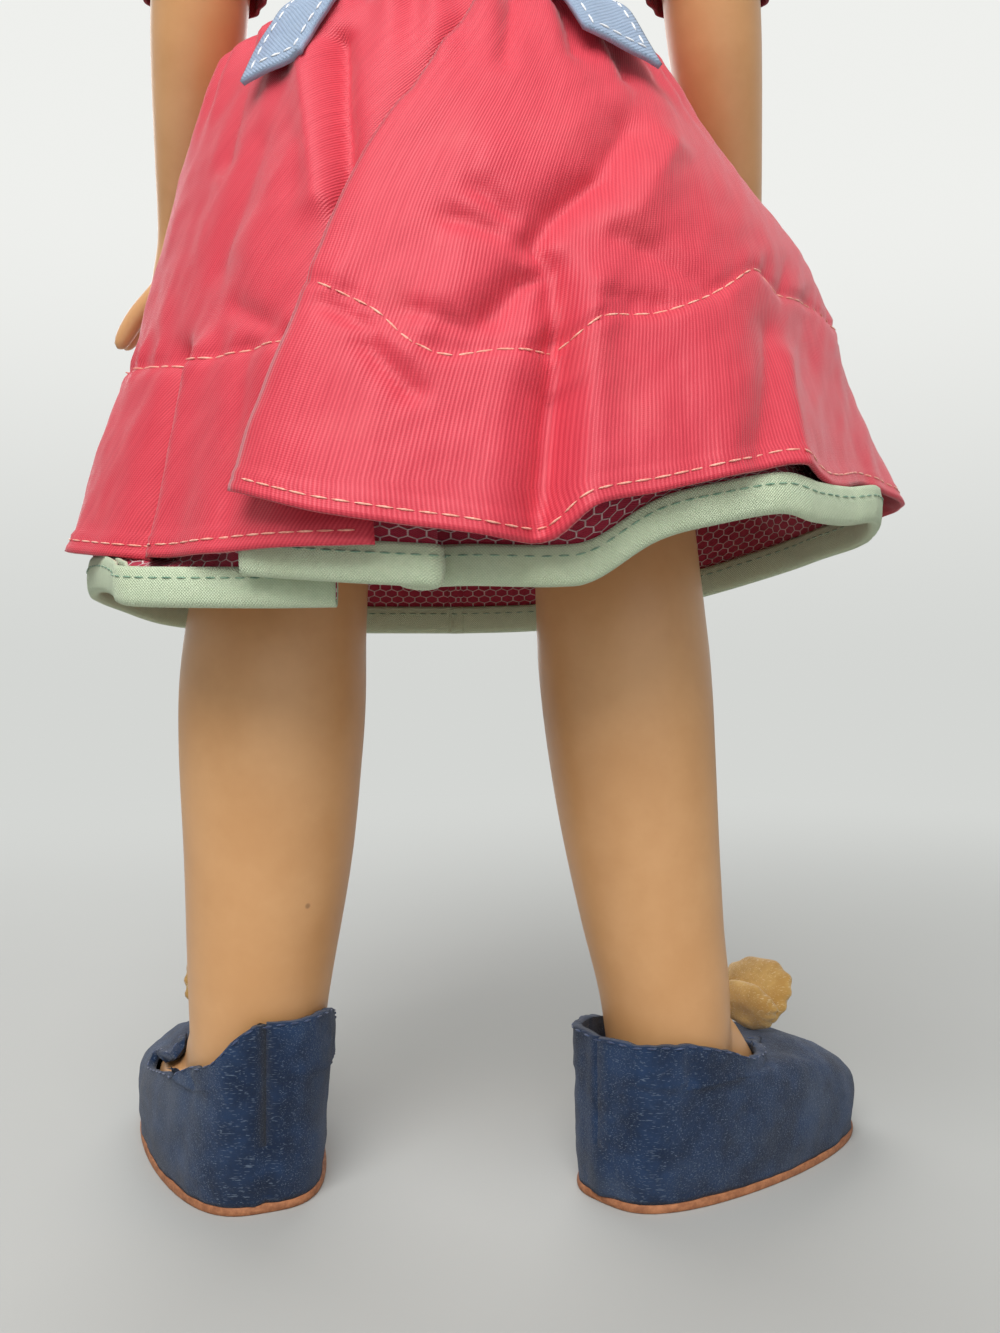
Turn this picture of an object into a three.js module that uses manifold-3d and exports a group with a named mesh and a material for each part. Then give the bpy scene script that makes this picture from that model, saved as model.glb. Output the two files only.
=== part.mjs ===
// A strung hard plastic doll, 14 inches tall, standing in a gathered skirt, petticoat, vest and felt shoes.
// Millimetres, +Z up. The doll faces -Y, its left side is +X, and it stands on its soles at z = 0.

import * as THREE from "three";
import { mergeVertices } from "three/addons/utils/BufferGeometryUtils.js";
import Module from "manifold-3d";

const wasm = await Module();
wasm.setup();

// Fits shared by all pieces
const CLEAR = 0.3; // between neighbouring pieces
const GLUE = 0.3; // glue line between two moulded halves
const PLASTIC = 2.4; // wall of the hollow mouldings

// Torso
const HIP_X = 22; // hip socket centres, to each side
const HIP_Z = 168;
const HIP_BALL = 16;
const CROTCH_Z = 152;
const CROTCH_HALF = 10;
const PELVIS_Z = 176;
const PELVIS_HALF = 31;
const PELVIS_DEPTH = 21;
const WAIST_Z = 196;
const WAIST_HALF = 22.5;
const WAIST_DEPTH = 17.5;
const CHEST_Z = 226;
const CHEST_HALF = 26;
const CHEST_FRONT = 21;
const CHEST_BACK = 18.5;
const SHOULDER_Z = 250;
const SHOULDER_HALF = 32;
const SHOULDER_DEPTH = 15.5;
const NECK_Z = 262; // centre of the neck ball
const NECK_BALL = 12;
const NECK_RIM = 5; // collar that rises round the ball

// Legs
const LEG_SPREAD = 5; // degrees outward
const THIGH_RADIUS = 15.8;
const KNEE_RADIUS = 13.4;
const KNEE_Z = 112;
const CALF_RADIUS = 15;
const CALF_Z = 86;
const CALF_SWELL = 1.5; // how far the calf stands out behind
const ANKLE_RADIUS = 11.2;
const ANKLE_Z = 30;
const LEG_SWING_FRONT = 90;
const LEG_SWING_BACK = 20;

// Arms
const ARM_X = 40; // centre of the shoulder ball
const ARM_BALL = 11;
const UPPER_ARM_RADIUS = 8.6;
const FOREARM_RADIUS = 7.6;
const WRIST_RADIUS = 5.6;
const ELBOW = new THREE.Vector3(42.5, -1.5, 203);
const WRIST = new THREE.Vector3(51.5, -26, 166);
const FINGERTIP = new THREE.Vector3(61, -36, 147);
const PALM_LENGTH = 14;
const PALM_HALF = 6.6;
const FINGER_LENGTH = 12;
const FINGER_RADIUS = 1.75;

// Stringing
const WIRE = 0.9; // hook wire radius
const EYE_RING = 2.9; // hook eye, to the middle of the wire
const CORD = 1.1; // elastic cord radius
const SWIVEL_DROP = 8; // from the hip centre to the swivel shelf
const SWIVEL_GAP = 0.8; // from the shelf to the washer under it
const WASHER = 3.6;
const WASHER_THICK = 1.2;
const NECK_RING_Z = 233;
const NECK_RING = 5.2;
const BAR_RADIUS = 1.5;

// Head
const CHIN_Z = 274;
const CROWN_Z = 352;
const FACE_HALF = 33;
const FACE_DEPTH = 32;
const SKULL_DEPTH = 36;
const EYE_X = FACE_HALF * 0.4;
const EYE_Z = CHIN_Z + (CROWN_Z - CHIN_Z) * 0.45;
const EYE_Y = -(FACE_DEPTH - 9.2);
const EYEBALL = 6.6;
const EYE_OPENING_HALF = 5.6;
const EYE_OPENING_TALL = 4.8;
const AXLE_RADIUS = 0.9;
const AXLE_HALF = EYE_X + EYEBALL + 0.4;
const LASH_LENGTH = 1.6;
const LASH_ANGLE = 24; // degrees above the middle of the eye
const LASH_THICK = 0.5;
const ROCKER_DROP = 11;
const WEIGHT_RADIUS = 3.6;
const HAIR_THICK = 5.5;
const CROWN_HAIR = 3.6;
const HAIR_END_Z = CHIN_Z + (CROWN_Z - CHIN_Z) * 0.15;
const FRINGE_Z = CHIN_Z + (CROWN_Z - CHIN_Z) * 0.74;

// Dress
const COTTON = 1; // thickness of the bodice and sleeves
const BODICE_TOP = 257;
const ARMHOLE = 12.8;
const ARMHOLE_DEPTH = 3; // how far the armholes cut in from the chest's width
const SLEEVE_RADIUS = 12.8; // at the shoulder
const SLEEVE_END_RADIUS = 10.8;
const SLEEVE_END_Z = 198;
const BAND_HEIGHT = 6;
const BAND_THICK = 1.4;
const SKIRT_TOP = 190;
const HEM_LEVEL = 95; // level that the flare is measured to
const SKIRT_WAIST_HALF = 31;
const SKIRT_HEM_HALF = 75;
const SKIRT_FLARE = 0.72;
const WAIST_ROUND = 0.86; // depth over width at the waist
const HEM_ROUND = 0.7;
const SKIRT_LEAN = -5; // the hem swings to the doll's right
const SKIRT_CLOTH = 1;
const SKIRT_HEM_Z = 103.5;
const HEM_LIFT = 10; // the hem rises at the right of the back
const OVERLAP_STEP = 2.6; // the right back panel lies over the left one
const FLUTES = 7;
const FLUTE_DEPTH = 2.6;
const PETTICOAT_CLOTH = 1;
const PETTICOAT_DROP = 8.5; // below the skirt's hem
const PETTICOAT_FLUTE = 6;
const LAYER_GAP = 0.5;
const BINDING_DEPTH = 5.2;
const BINDING_THICK = 0.8;

// Vest
const VEST_CLOTH = 1.2;
const VEST_EASE = 0.9; // slack between the vest and what it lies on
const VEST_TOP = 255;
const VEST_ARMHOLE = 17;
const VEST_BACK_Z = 203;
const VEST_SIDE_Z = 199;
const VEST_TAIL_Z = 169;
const VEST_TAIL_ANGLE = 44; // degrees from the centre of the back
const VEST_TAIL_WIDTH = 17;
const VEST_FRONT_GAP = 26; // degrees open to each side of the centre of the front

// Shoes
const SOLE_THICK = 1.8;
const SOLE_MARGIN = 0.5;
const FELT = 1.6;
const FOOT_EASE = 1.2; // slack of the foot in the shoe
const SHOE_HEEL = 14.6; // behind the ankle
const SHOE_TOE = 46.5; // in front of the ankle
const SHOE_HALF = 15.4;
const VAMP_Y = 18; // where the opening ends, in front of the ankle
const VAMP_Z = 20;
const TOE_Z = 6; // height of the toe's foremost point
const HEEL_TOP_Z = 29;
const POMPOM_RADIUS = 6.6;
const POMPOM_Y = 27;
const POMPOM_RUFFLES = 7;
const TOE_OUT_LEFT = 22;
const TOE_OUT_RIGHT = 47;

// Counts of facets
const BODY_SIDES = 18;
const TORSO_ROWS = 9;
const HEAD_SIDES = 18;
const HAIR_SIDES = 22;
const LIMB_SIDES = 10;
const CLOTH_SIDES = 40;
const SLEEVE_SIDES = 14;
const SHOE_SIDES = 16;
const CORD_SIDES = 5;
const BALL_SIDES = 12;
const SOCKET_SIDES = 16;

const FINISH = {
  plastic: { color: 0xc59464, roughness: 0.42, metalness: 0 },
  steel: { color: 0x9a9a98, roughness: 0.35, metalness: 1 },
  lead: { color: 0x6a6c70, roughness: 0.6, metalness: 1 },
  elastic: { color: 0xd8d0bd, roughness: 0.9, metalness: 0 },
  eye: { color: 0x5a83b0, roughness: 0.1, metalness: 0 },
  lash: { color: 0x2a1c14, roughness: 0.8, metalness: 0 },
  hair: { color: 0x6b3f22, roughness: 0.55, metalness: 0 },
  bodice: { color: 0x8f1f33, roughness: 0.85, metalness: 0 },
  skirt: { color: 0xe14655, roughness: 0.7, metalness: 0 },
  petticoat: { color: 0xa3243c, roughness: 0.85, metalness: 0 },
  binding: { color: 0xbed7b9, roughness: 0.9, metalness: 0 },
  vest: { color: 0x96afd2, roughness: 0.9, metalness: 0 },
  felt: { color: 0x324b73, roughness: 0.95, metalness: 0 },
  sole: { color: 0xc8784b, roughness: 0.8, metalness: 0 },
  pompom: { color: 0xdcbe78, roughness: 0.95, metalness: 0 },
};

const doll = new THREE.Group();
const radians = THREE.MathUtils.degToRad;
const vec = (x, y, z) => new THREE.Vector3(x, y, z);
const clamp = THREE.MathUtils.clamp;
const smooth = THREE.MathUtils.smoothstep;
const mix = THREE.MathUtils.lerp;

// Geometry helpers

// Flat cap over one ring of points, as triangles of ring indices.
function capTriangles(ring) {
  const normal = vec(0, 0, 0);
  ring.forEach((p, i) => {
    const q = ring[(i + 1) % ring.length];
    normal.add(vec((p.y - q.y) * (p.z + q.z), (p.z - q.z) * (p.x + q.x), (p.x - q.x) * (p.y + q.y)));
  });
  const turn = new THREE.Quaternion().setFromUnitVectors(normal.normalize(), vec(0, 0, 1));
  const flat = ring.map((p) => p.clone().applyQuaternion(turn)).map((p) => new THREE.Vector2(p.x, p.y));
  return THREE.ShapeUtils.triangulateShape(flat, []);
}

// Closed surface through rings of equal count, either capped at both ends or joined into a loop.
function loft(rings, looped = false) {
  const count = rings[0].length;
  const triangles = [];
  const spans = looped ? rings.length : rings.length - 1;
  for (let i = 0; i < spans; i += 1) {
    const a = i * count;
    const b = ((i + 1) % rings.length) * count;
    for (let k = 0; k < count; k += 1) {
      const next = (k + 1) % count;
      triangles.push(a + k, a + next, b + next, a + k, b + next, b + k);
    }
  }
  if (!looped) {
    const last = (rings.length - 1) * count;
    capTriangles(rings[0]).forEach(([p, q, r]) => triangles.push(r, q, p));
    capTriangles(rings[rings.length - 1]).forEach(([p, q, r]) => triangles.push(last + p, last + q, last + r));
  }
  const points = rings.flat();
  let volume = 0;
  for (let i = 0; i < triangles.length; i += 3) {
    const [p, q, r] = [points[triangles[i]], points[triangles[i + 1]], points[triangles[i + 2]]];
    volume += p.dot(q.clone().cross(r));
  }
  const geometry = new THREE.BufferGeometry().setFromPoints(points);
  geometry.setIndex(volume > 0 ? triangles : triangles.reverse());
  return geometry;
}

function solid(geometry) {
  const bare = geometry.clone();
  bare.deleteAttribute("normal");
  bare.deleteAttribute("uv");
  const merged = mergeVertices(bare, 1e-4);
  const vertProperties = new Float32Array(merged.attributes.position.array);
  const triVerts = new Uint32Array(merged.index.array);
  return new wasm.Manifold(new wasm.Mesh({ numProp: 3, vertProperties, triVerts }));
}

function geometryOf(shape) {
  const mesh = shape.getMesh();
  const geometry = new THREE.BufferGeometry();
  geometry.setAttribute("position", new THREE.BufferAttribute(new Float32Array(mesh.vertProperties), 3));
  geometry.setIndex(Array.from(mesh.triVerts));
  return geometry;
}

function add(name, shape, finish) {
  const geometry = shape.isBufferGeometry ? shape : geometryOf(shape);
  geometry.computeVertexNormals();
  const mesh = new THREE.Mesh(geometry, new THREE.MeshStandardMaterial(FINISH[finish]));
  mesh.name = name;
  doll.add(mesh);
}

function ball(centre, radius, sides = BALL_SIDES) {
  const geometry = new THREE.SphereGeometry(radius, sides, sides / 2);
  geometry.rotateX(Math.PI / 2);
  return geometry.translate(centre.x, centre.y, centre.z);
}

// A socket whose flats stay clear of a ball that turns in it.
function socket(centre, radius) {
  return ball(centre, (radius + CLEAR) / Math.cos(Math.PI / SOCKET_SIDES) ** 2, SOCKET_SIDES);
}

function egg(centre, rx, ry, rz, sides = 8) {
  return ball(vec(0, 0, 0), 1, sides).scale(rx, ry, rz).translate(centre.x, centre.y, centre.z);
}

function rod(from, to, radius, sides = 10) {
  const along = to.clone().sub(from);
  const geometry = new THREE.CylinderGeometry(radius, radius, along.length(), sides);
  geometry.applyQuaternion(new THREE.Quaternion().setFromUnitVectors(vec(0, 1, 0), along.normalize()));
  const middle = from.clone().lerp(to, 0.5);
  return geometry.translate(middle.x, middle.y, middle.z);
}

// The part of a shape on the side of a plane that its normal points to.
function keepSide(shape, point, normal) {
  const reach = 800;
  const half = new THREE.BoxGeometry(reach, reach, reach);
  half.translate(0, 0, reach / 2);
  half.applyQuaternion(new THREE.Quaternion().setFromUnitVectors(vec(0, 0, 1), normal.clone().normalize()));
  half.translate(point.x, point.y, point.z);
  return shape.intersect(solid(half));
}

// A moulding parted into two halves with the glue line between them.
function addHalves(shape, frontName, backName, point, forward, finish) {
  const offset = forward.clone().normalize().multiplyScalar(GLUE / 2);
  add(frontName, keepSide(shape, point.clone().add(offset), forward), finish);
  add(backName, keepSide(shape, point.clone().sub(offset), forward.clone().negate()), finish);
}

// Smooth curve through [place, value] pairs, held level beyond its ends.
function profile(pairs) {
  return (place) => {
    const rising = pairs[0][0] < pairs[pairs.length - 1][0];
    const list = rising ? pairs : [...pairs].reverse();
    const last = list.length - 1;
    if (place <= list[0][0]) return list[0][1];
    if (place >= list[last][0]) return list[last][1];
    const i = list.findIndex((pair) => pair[0] > place) - 1;
    const slope = (k) => {
      const [low, high] = [list[Math.max(k - 1, 0)], list[Math.min(k + 1, last)]];
      return (high[1] - low[1]) / (high[0] - low[0]);
    };
    const width = list[i + 1][0] - list[i][0];
    const s = (place - list[i][0]) / width;
    const bend = s * s * (3 - 2 * s);
    const start = slope(i) * width * s * (1 - s) * (1 - s);
    const finish = slope(i + 1) * width * s * s * (1 - s);
    return mix(list[i][1], list[i + 1][1], bend) + start - finish;
  };
}

// Distance from the centre to an oval whose front (-Y) and back depths differ.
function ovalRadius(angle, half, front, back) {
  const depth = Math.sin(angle) < 0 ? front : back;
  return 1 / Math.hypot(Math.cos(angle) / half, Math.sin(angle) / depth);
}

const angles = (count) => Array.from({ length: count }, (_, k) => (k * 2 * Math.PI) / count);
const steps = (from, to, count) => Array.from({ length: count + 1 }, (_, i) => mix(from, to, i / count));

// A ring at one height whose radius is a function of the angle.
function levelRing(z, radius, sides, x = 0, y = 0) {
  return angles(sides).map((a) => vec(x + radius(a) * Math.cos(a), y + radius(a) * Math.sin(a), z));
}

// Rings of an oval section square to a curve; size gives the two half widths at a fraction along it.
function sweepRings(curve, count, sides, size, wide) {
  return steps(0, 1, count).map((t) => {
    const centre = curve.getPoint(t);
    const along = curve.getTangent(t);
    const across = wide.clone().addScaledVector(along, -wide.dot(along)).normalize();
    const through = along.clone().cross(across);
    const [half, thick] = size(t);
    return angles(sides).map((a) =>
      centre.clone().addScaledVector(across, half * Math.cos(a)).addScaledVector(through, thick * Math.sin(a)),
    );
  });
}

// A round cord along a closed curve.
function cordLoop(points, count) {
  const curve = new THREE.CatmullRomCurve3(points, true, "centripetal");
  const frames = curve.computeFrenetFrames(count, true);
  const rings = steps(0, 1, count).slice(0, -1).map((t, i) =>
    angles(CORD_SIDES).map((a) =>
      curve.getPointAt(t)
        .addScaledVector(frames.normals[i], CORD * Math.cos(a))
        .addScaledVector(frames.binormals[i], CORD * Math.sin(a)),
    ),
  );
  return loft(rings, true);
}

// A wire ring whose hole runs along one axis.
function eyeRing(centre, radius, axis) {
  const geometry = new THREE.TorusGeometry(radius, WIRE, CORD_SIDES, 12);
  geometry.applyQuaternion(new THREE.Quaternion().setFromUnitVectors(vec(0, 0, 1), axis));
  return geometry.translate(centre.x, centre.y, centre.z);
}

// Torso

const torsoHalf = profile([
  [CROTCH_Z, CROTCH_HALF],
  [PELVIS_Z, PELVIS_HALF],
  [WAIST_Z, WAIST_HALF],
  [CHEST_Z, CHEST_HALF],
  [SHOULDER_Z, SHOULDER_HALF],
  [NECK_Z, NECK_BALL + NECK_RIM],
]);
const torsoFront = profile([
  [CROTCH_Z, CROTCH_HALF],
  [PELVIS_Z, PELVIS_DEPTH],
  [WAIST_Z, WAIST_DEPTH],
  [CHEST_Z, CHEST_FRONT],
  [SHOULDER_Z, SHOULDER_DEPTH],
  [NECK_Z, NECK_BALL + NECK_RIM / 2],
]);
const torsoBack = profile([
  [CROTCH_Z, CROTCH_HALF],
  [PELVIS_Z, PELVIS_DEPTH],
  [WAIST_Z, WAIST_DEPTH],
  [CHEST_Z, CHEST_BACK],
  [SHOULDER_Z, SHOULDER_DEPTH],
  [NECK_Z, NECK_BALL + NECK_RIM / 2],
]);
const torsoRadius = (a, z) => ovalRadius(a, torsoHalf(z), torsoFront(z), torsoBack(z));
const TORSO_TOP = NECK_Z + CLEAR;

// The torso's outer form, grown by what is worn over it; every layer has its rings at the same heights.
function torsoForm(grow) {
  const levels = steps(CROTCH_Z, TORSO_TOP, TORSO_ROWS);
  return solid(loft(levels.map((z) => levelRing(z, (a) => torsoRadius(a, z) + grow, BODY_SIDES))));
}

// A layer round the torso between two growths and two heights.
function torsoLayer(inside, thick, bottom, top) {
  const layer = torsoForm(inside + thick).subtract(torsoForm(inside));
  return keepSide(keepSide(layer, vec(0, 0, bottom), vec(0, 0, 1)), vec(0, 0, top), vec(0, 0, -1));
}

// Room for a thigh that swings about its hip, as a fan seen from the side.
function swingRoom(side) {
  const reach = 60;
  const half = HIP_BALL + CLEAR;
  const front = radians(LEG_SWING_FRONT);
  const back = radians(LEG_SWING_BACK);
  const along = (angle) => new THREE.Vector2(-Math.sin(angle), -Math.cos(angle));
  const above = (angle) => new THREE.Vector2(-Math.cos(angle), Math.sin(angle)).multiplyScalar(half);
  const shape = new THREE.Shape();
  const backEdge = above(-back).negate();
  const frontEdge = above(front);
  shape.moveTo(backEdge.x, backEdge.y);
  shape.lineTo(backEdge.x + along(-back).x * reach, backEdge.y + along(-back).y * reach);
  shape.lineTo(-reach, -reach);
  shape.lineTo(frontEdge.x + along(front).x * reach, frontEdge.y + along(front).y * reach);
  shape.lineTo(frontEdge.x, frontEdge.y);
  const from = Math.atan2(frontEdge.y, frontEdge.x);
  const to = Math.atan2(backEdge.y, backEdge.x);
  shape.absarc(0, 0, half, from, to, true);
  const room = new THREE.ExtrudeGeometry(shape, { depth: reach, bevelEnabled: false, curveSegments: 6 });
  room.applyMatrix4(new THREE.Matrix4().makeBasis(vec(0, 1, 0), vec(0, 0, 1), vec(1, 0, 0)));
  const inner = HIP_X - HIP_BALL - CLEAR;
  return room.translate(side > 0 ? inner : -inner - reach, 0, HIP_Z);
}

function addTorso() {
  let shape = torsoForm(0);
  const hollow = keepSide(torsoForm(-PLASTIC), vec(0, 0, PELVIS_Z), vec(0, 0, 1));
  shape = shape.subtract(keepSide(hollow, vec(0, 0, SHOULDER_Z - PLASTIC), vec(0, 0, -1)));
  for (const side of [1, -1]) {
    const hip = vec(side * HIP_X, 0, HIP_Z);
    const shoulder = vec(side * ARM_X, 0, SHOULDER_Z);
    shape = shape.subtract(solid(swingRoom(side)));
    const passage = hip.clone().addScaledVector(cordPull(side), WAIST_Z - HIP_Z);
    shape = shape.subtract(solid(rod(hip, passage, CORD_ROOM)));
    shape = shape.subtract(solid(socket(shoulder, ARM_BALL)));
    shape = shape.subtract(solid(rod(vec(0, 0, SHOULDER_Z), shoulder, ARM_ROOM)));
  }
  const neck = vec(0, 0, NECK_Z);
  shape = shape.subtract(solid(socket(neck, NECK_BALL)));
  shape = shape.subtract(solid(rod(neck, vec(0, 0, CHEST_Z), NECK_RING + WIRE + CLEAR)));
  addHalves(shape, "torso_front", "torso_back", vec(0, 0, 0), vec(0, -1, 0), "plastic");
}

// Legs and shoes

// The leg cords pull from each hip towards the ring of the neck hook.
const CORD_TOP = NECK_RING_Z - NECK_RING + WIRE + CORD + CLEAR * 5;
const cordPull = (side) => vec(-side * HIP_X, 0, CORD_TOP - HIP_Z).normalize();
const CORD_ROOM = EYE_RING + WIRE + CORD * 2 + CLEAR * 2;
const ARM_ROOM = EYE_RING + WIRE + CORD;

const legTilt = (side) => -side * radians(LEG_SPREAD);
const toeOut = (side) => side * radians(side > 0 ? TOE_OUT_LEFT : TOE_OUT_RIGHT);
const legAxis = (side) => vec(0, 0, -1).applyAxisAngle(vec(0, 1, 0), legTilt(side));

function onLeg(side, z) {
  const axis = legAxis(side);
  return vec(side * HIP_X, 0, HIP_Z).addScaledVector(axis, (z - HIP_Z) / axis.z);
}

// Places what is built round the ankle, toes towards -Y, at the foot of one leg.
function atFoot(side, geometry) {
  const ankle = onLeg(side, ANKLE_Z - CALF_SWELL);
  return geometry.rotateZ(toeOut(side)).translate(ankle.x, 0, 0);
}

const legRadius = profile([
  [0, ANKLE_RADIUS - 3],
  [ANKLE_Z, ANKLE_RADIUS],
  [CALF_Z, CALF_RADIUS],
  [KNEE_Z, KNEE_RADIUS],
  [HIP_Z - HIP_BALL, THIGH_RADIUS],
  [HIP_Z, THIGH_RADIUS - 1],
]);
const calfBack = profile([
  [ANKLE_Z, 0],
  [CALF_Z, CALF_SWELL],
  [KNEE_Z, 0],
]);

function legForm(side, grow, bottom, top, rows, sides) {
  const forward = vec(0, -1, 0).applyAxisAngle(vec(0, 0, 1), toeOut(side));
  const outward = vec(1, 0, 0).applyAxisAngle(vec(0, 0, 1), toeOut(side));
  const rings = steps(bottom, top, rows).map((z) => {
    const centre = onLeg(side, z).addScaledVector(forward, -calfBack(z));
    return angles(sides).map((a) =>
      centre.clone()
        .addScaledVector(outward, (legRadius(z) + grow) * Math.cos(a))
        .addScaledVector(forward, (legRadius(z) + grow) * Math.sin(a)),
    );
  });
  return loft(rings);
}

// Outline of the shoe at one height, drawn in by an inset on every side.
function shoeRing(z, inset) {
  const rise = clamp((z + inset - TOE_Z) / (VAMP_Z - TOE_Z), 0, 1);
  const toe = VAMP_Y + (SHOE_TOE - VAMP_Y) * Math.pow(1 - Math.pow(rise, 2.2), 0.6) - inset;
  const heel = SHOE_HEEL - inset;
  const half = SHOE_HALF - inset - smooth(z, VAMP_Z / 2, HEEL_TOP_Z);
  return angles(SHOE_SIDES).map((a) => {
    const bulge = Math.sign(Math.sin(a)) * Math.pow(Math.abs(Math.sin(a)), 0.55);
    const y = (heel - toe) / 2 + ((heel + toe) / 2) * Math.cos(a);
    return vec(half * bulge * (1 - 0.1 * Math.cos(a)), y, z);
  });
}

// The shoe's form between two heights, with rings closest where the toe curves over into the vamp.
function shoeForm(inset, bottom, top) {
  const between = [0, 0.4, 0.68, 0.88, 1].map((share) => mix(TOE_Z, VAMP_Z, share));
  const levels = [bottom, ...between.filter((z) => z > bottom + CLEAR && z < top - CLEAR), top];
  return loft(levels.map((z) => shoeRing(z, inset)));
}

const UPPER_BOTTOM = SOLE_THICK + CLEAR;
const FOOT_INSET = FELT + FOOT_EASE;

function addLeg(side, name) {
  const hip = vec(side * HIP_X, 0, HIP_Z);
  const axis = legAxis(side);
  const below = (drop) => hip.clone().addScaledVector(axis, drop);
  const footTop = VAMP_Z - FOOT_INSET - FOOT_EASE;
  const foot = atFoot(side, shoeForm(FOOT_INSET, UPPER_BOTTOM + FOOT_INSET, footTop));
  let shape = solid(legForm(side, 0, UPPER_BOTTOM + FOOT_INSET + 1, HIP_Z, 9, LIMB_SIDES));
  shape = shape.add(solid(foot)).add(solid(ball(hip, HIP_BALL)));
  const shelfUnder = SWIVEL_DROP + PLASTIC;
  shape = shape.subtract(solid(legForm(side, -PLASTIC, ANKLE_Z, HIP_Z - shelfUnder, 4, 8)));
  const mouth = hip.clone().addScaledVector(cordPull(side), HIP_BALL * 1.2);
  const floor = hip.clone().addScaledVector(cordPull(side), -EYE_RING - WIRE - CLEAR);
  shape = shape.subtract(solid(rod(floor, mouth, CORD_ROOM)));
  shape = shape.subtract(solid(rod(hip, below(shelfUnder + 2), WIRE + CLEAR)));
  const forward = vec(0, -1, 0).applyAxisAngle(vec(0, 0, 1), toeOut(side));
  forward.addScaledVector(axis, -forward.dot(axis));
  addHalves(shape, `${name}_leg_front`, `${name}_leg_back`, hip, forward, "plastic");

  const washer = rod(below(shelfUnder + SWIVEL_GAP), below(shelfUnder + SWIVEL_GAP + WASHER_THICK), WASHER);
  const shank = rod(below(EYE_RING), below(shelfUnder + SWIVEL_GAP + WASHER_THICK / 2), WIRE, 8);
  const hook = solid(eyeRing(hip, EYE_RING, vec(1, 0, 0))).add(solid(shank)).add(solid(washer));
  add(`${name}_leg_hook`, hook, "steel");

  const soleRing = shoeRing(TOE_Z, -SOLE_MARGIN).map((p) => new THREE.Vector2(p.x, p.y));
  const sole = new THREE.ExtrudeGeometry(new THREE.Shape(soleRing), { depth: SOLE_THICK, bevelEnabled: false });
  add(`${name}_shoe_sole`, atFoot(side, sole), "sole");

  const opening = vec(0, SHOE_HEEL, HEEL_TOP_Z);
  const rearward = vec(0, HEEL_TOP_Z - VAMP_Z, -(SHOE_HEEL + VAMP_Y));
  let upper = solid(shoeForm(0, UPPER_BOTTOM, HEEL_TOP_Z + 2));
  upper = upper.subtract(solid(shoeForm(FELT, UPPER_BOTTOM + FELT, HEEL_TOP_Z + 4)));
  const around = solid(shoeForm(-FELT, 0, HEEL_TOP_Z * 2));
  const overTopline = keepSide(around, opening, rearward.clone().negate());
  upper = upper.subtract(keepSide(overTopline, vec(0, 0, VAMP_Z), vec(0, 0, 1)));
  add(`${name}_shoe_upper`, atFoot(side, geometryOf(upper)), "felt");

  const pompomAt = vec(0, -POMPOM_Y, VAMP_Z + POMPOM_RADIUS * 0.6);
  const tuft = ball(vec(0, 0, 0), POMPOM_RADIUS, 14);
  const spots = tuft.attributes.position;
  for (let i = 0; i < spots.count; i += 1) {
    const p = vec(spots.getX(i), spots.getY(i), spots.getZ(i));
    const turn = Math.atan2(p.y, p.x) * POMPOM_RUFFLES;
    const level = Math.hypot(p.x, p.y) / POMPOM_RADIUS;
    p.multiplyScalar(1 - 0.09 * level * (1 + Math.cos(turn + p.z)));
    spots.setXYZ(i, p.x, p.y, p.z);
  }
  tuft.translate(pompomAt.x, pompomAt.y, pompomAt.z);
  const seat = shoeForm(-CLEAR, UPPER_BOTTOM, HEEL_TOP_Z + 2);
  const pompom = solid(tuft).subtract(solid(seat));
  add(`${name}_shoe_pompom`, atFoot(side, geometryOf(pompom)), "pompom");
}

// Arms

// A round finger that narrows to its tip.
function finger(root, tip, radius) {
  const line = new THREE.LineCurve3(root, tip);
  const size = (t) => [radius * (1 - 0.5 * t ** 4), radius * (1 - 0.5 * t ** 4)];
  return loft(sweepRings(line, 3, 6, size, vec(0, 1, 0)));
}

const onSide = (side, p) => vec(side * p.x, p.y, p.z);
const handReach = (side) => onSide(side, FINGERTIP).sub(onSide(side, WRIST)).normalize();
const atKnuckles = (side) => onSide(side, WRIST).addScaledVector(handReach(side), PALM_LENGTH);

// The middle of the arm, from the shoulder to the knuckles.
function armCurve(side) {
  const shoulder = vec(side * ARM_X, 0, SHOULDER_Z);
  const bends = [shoulder, onSide(side, ELBOW), onSide(side, WRIST), atKnuckles(side)];
  return new THREE.CatmullRomCurve3(bends, false, "centripetal");
}

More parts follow.
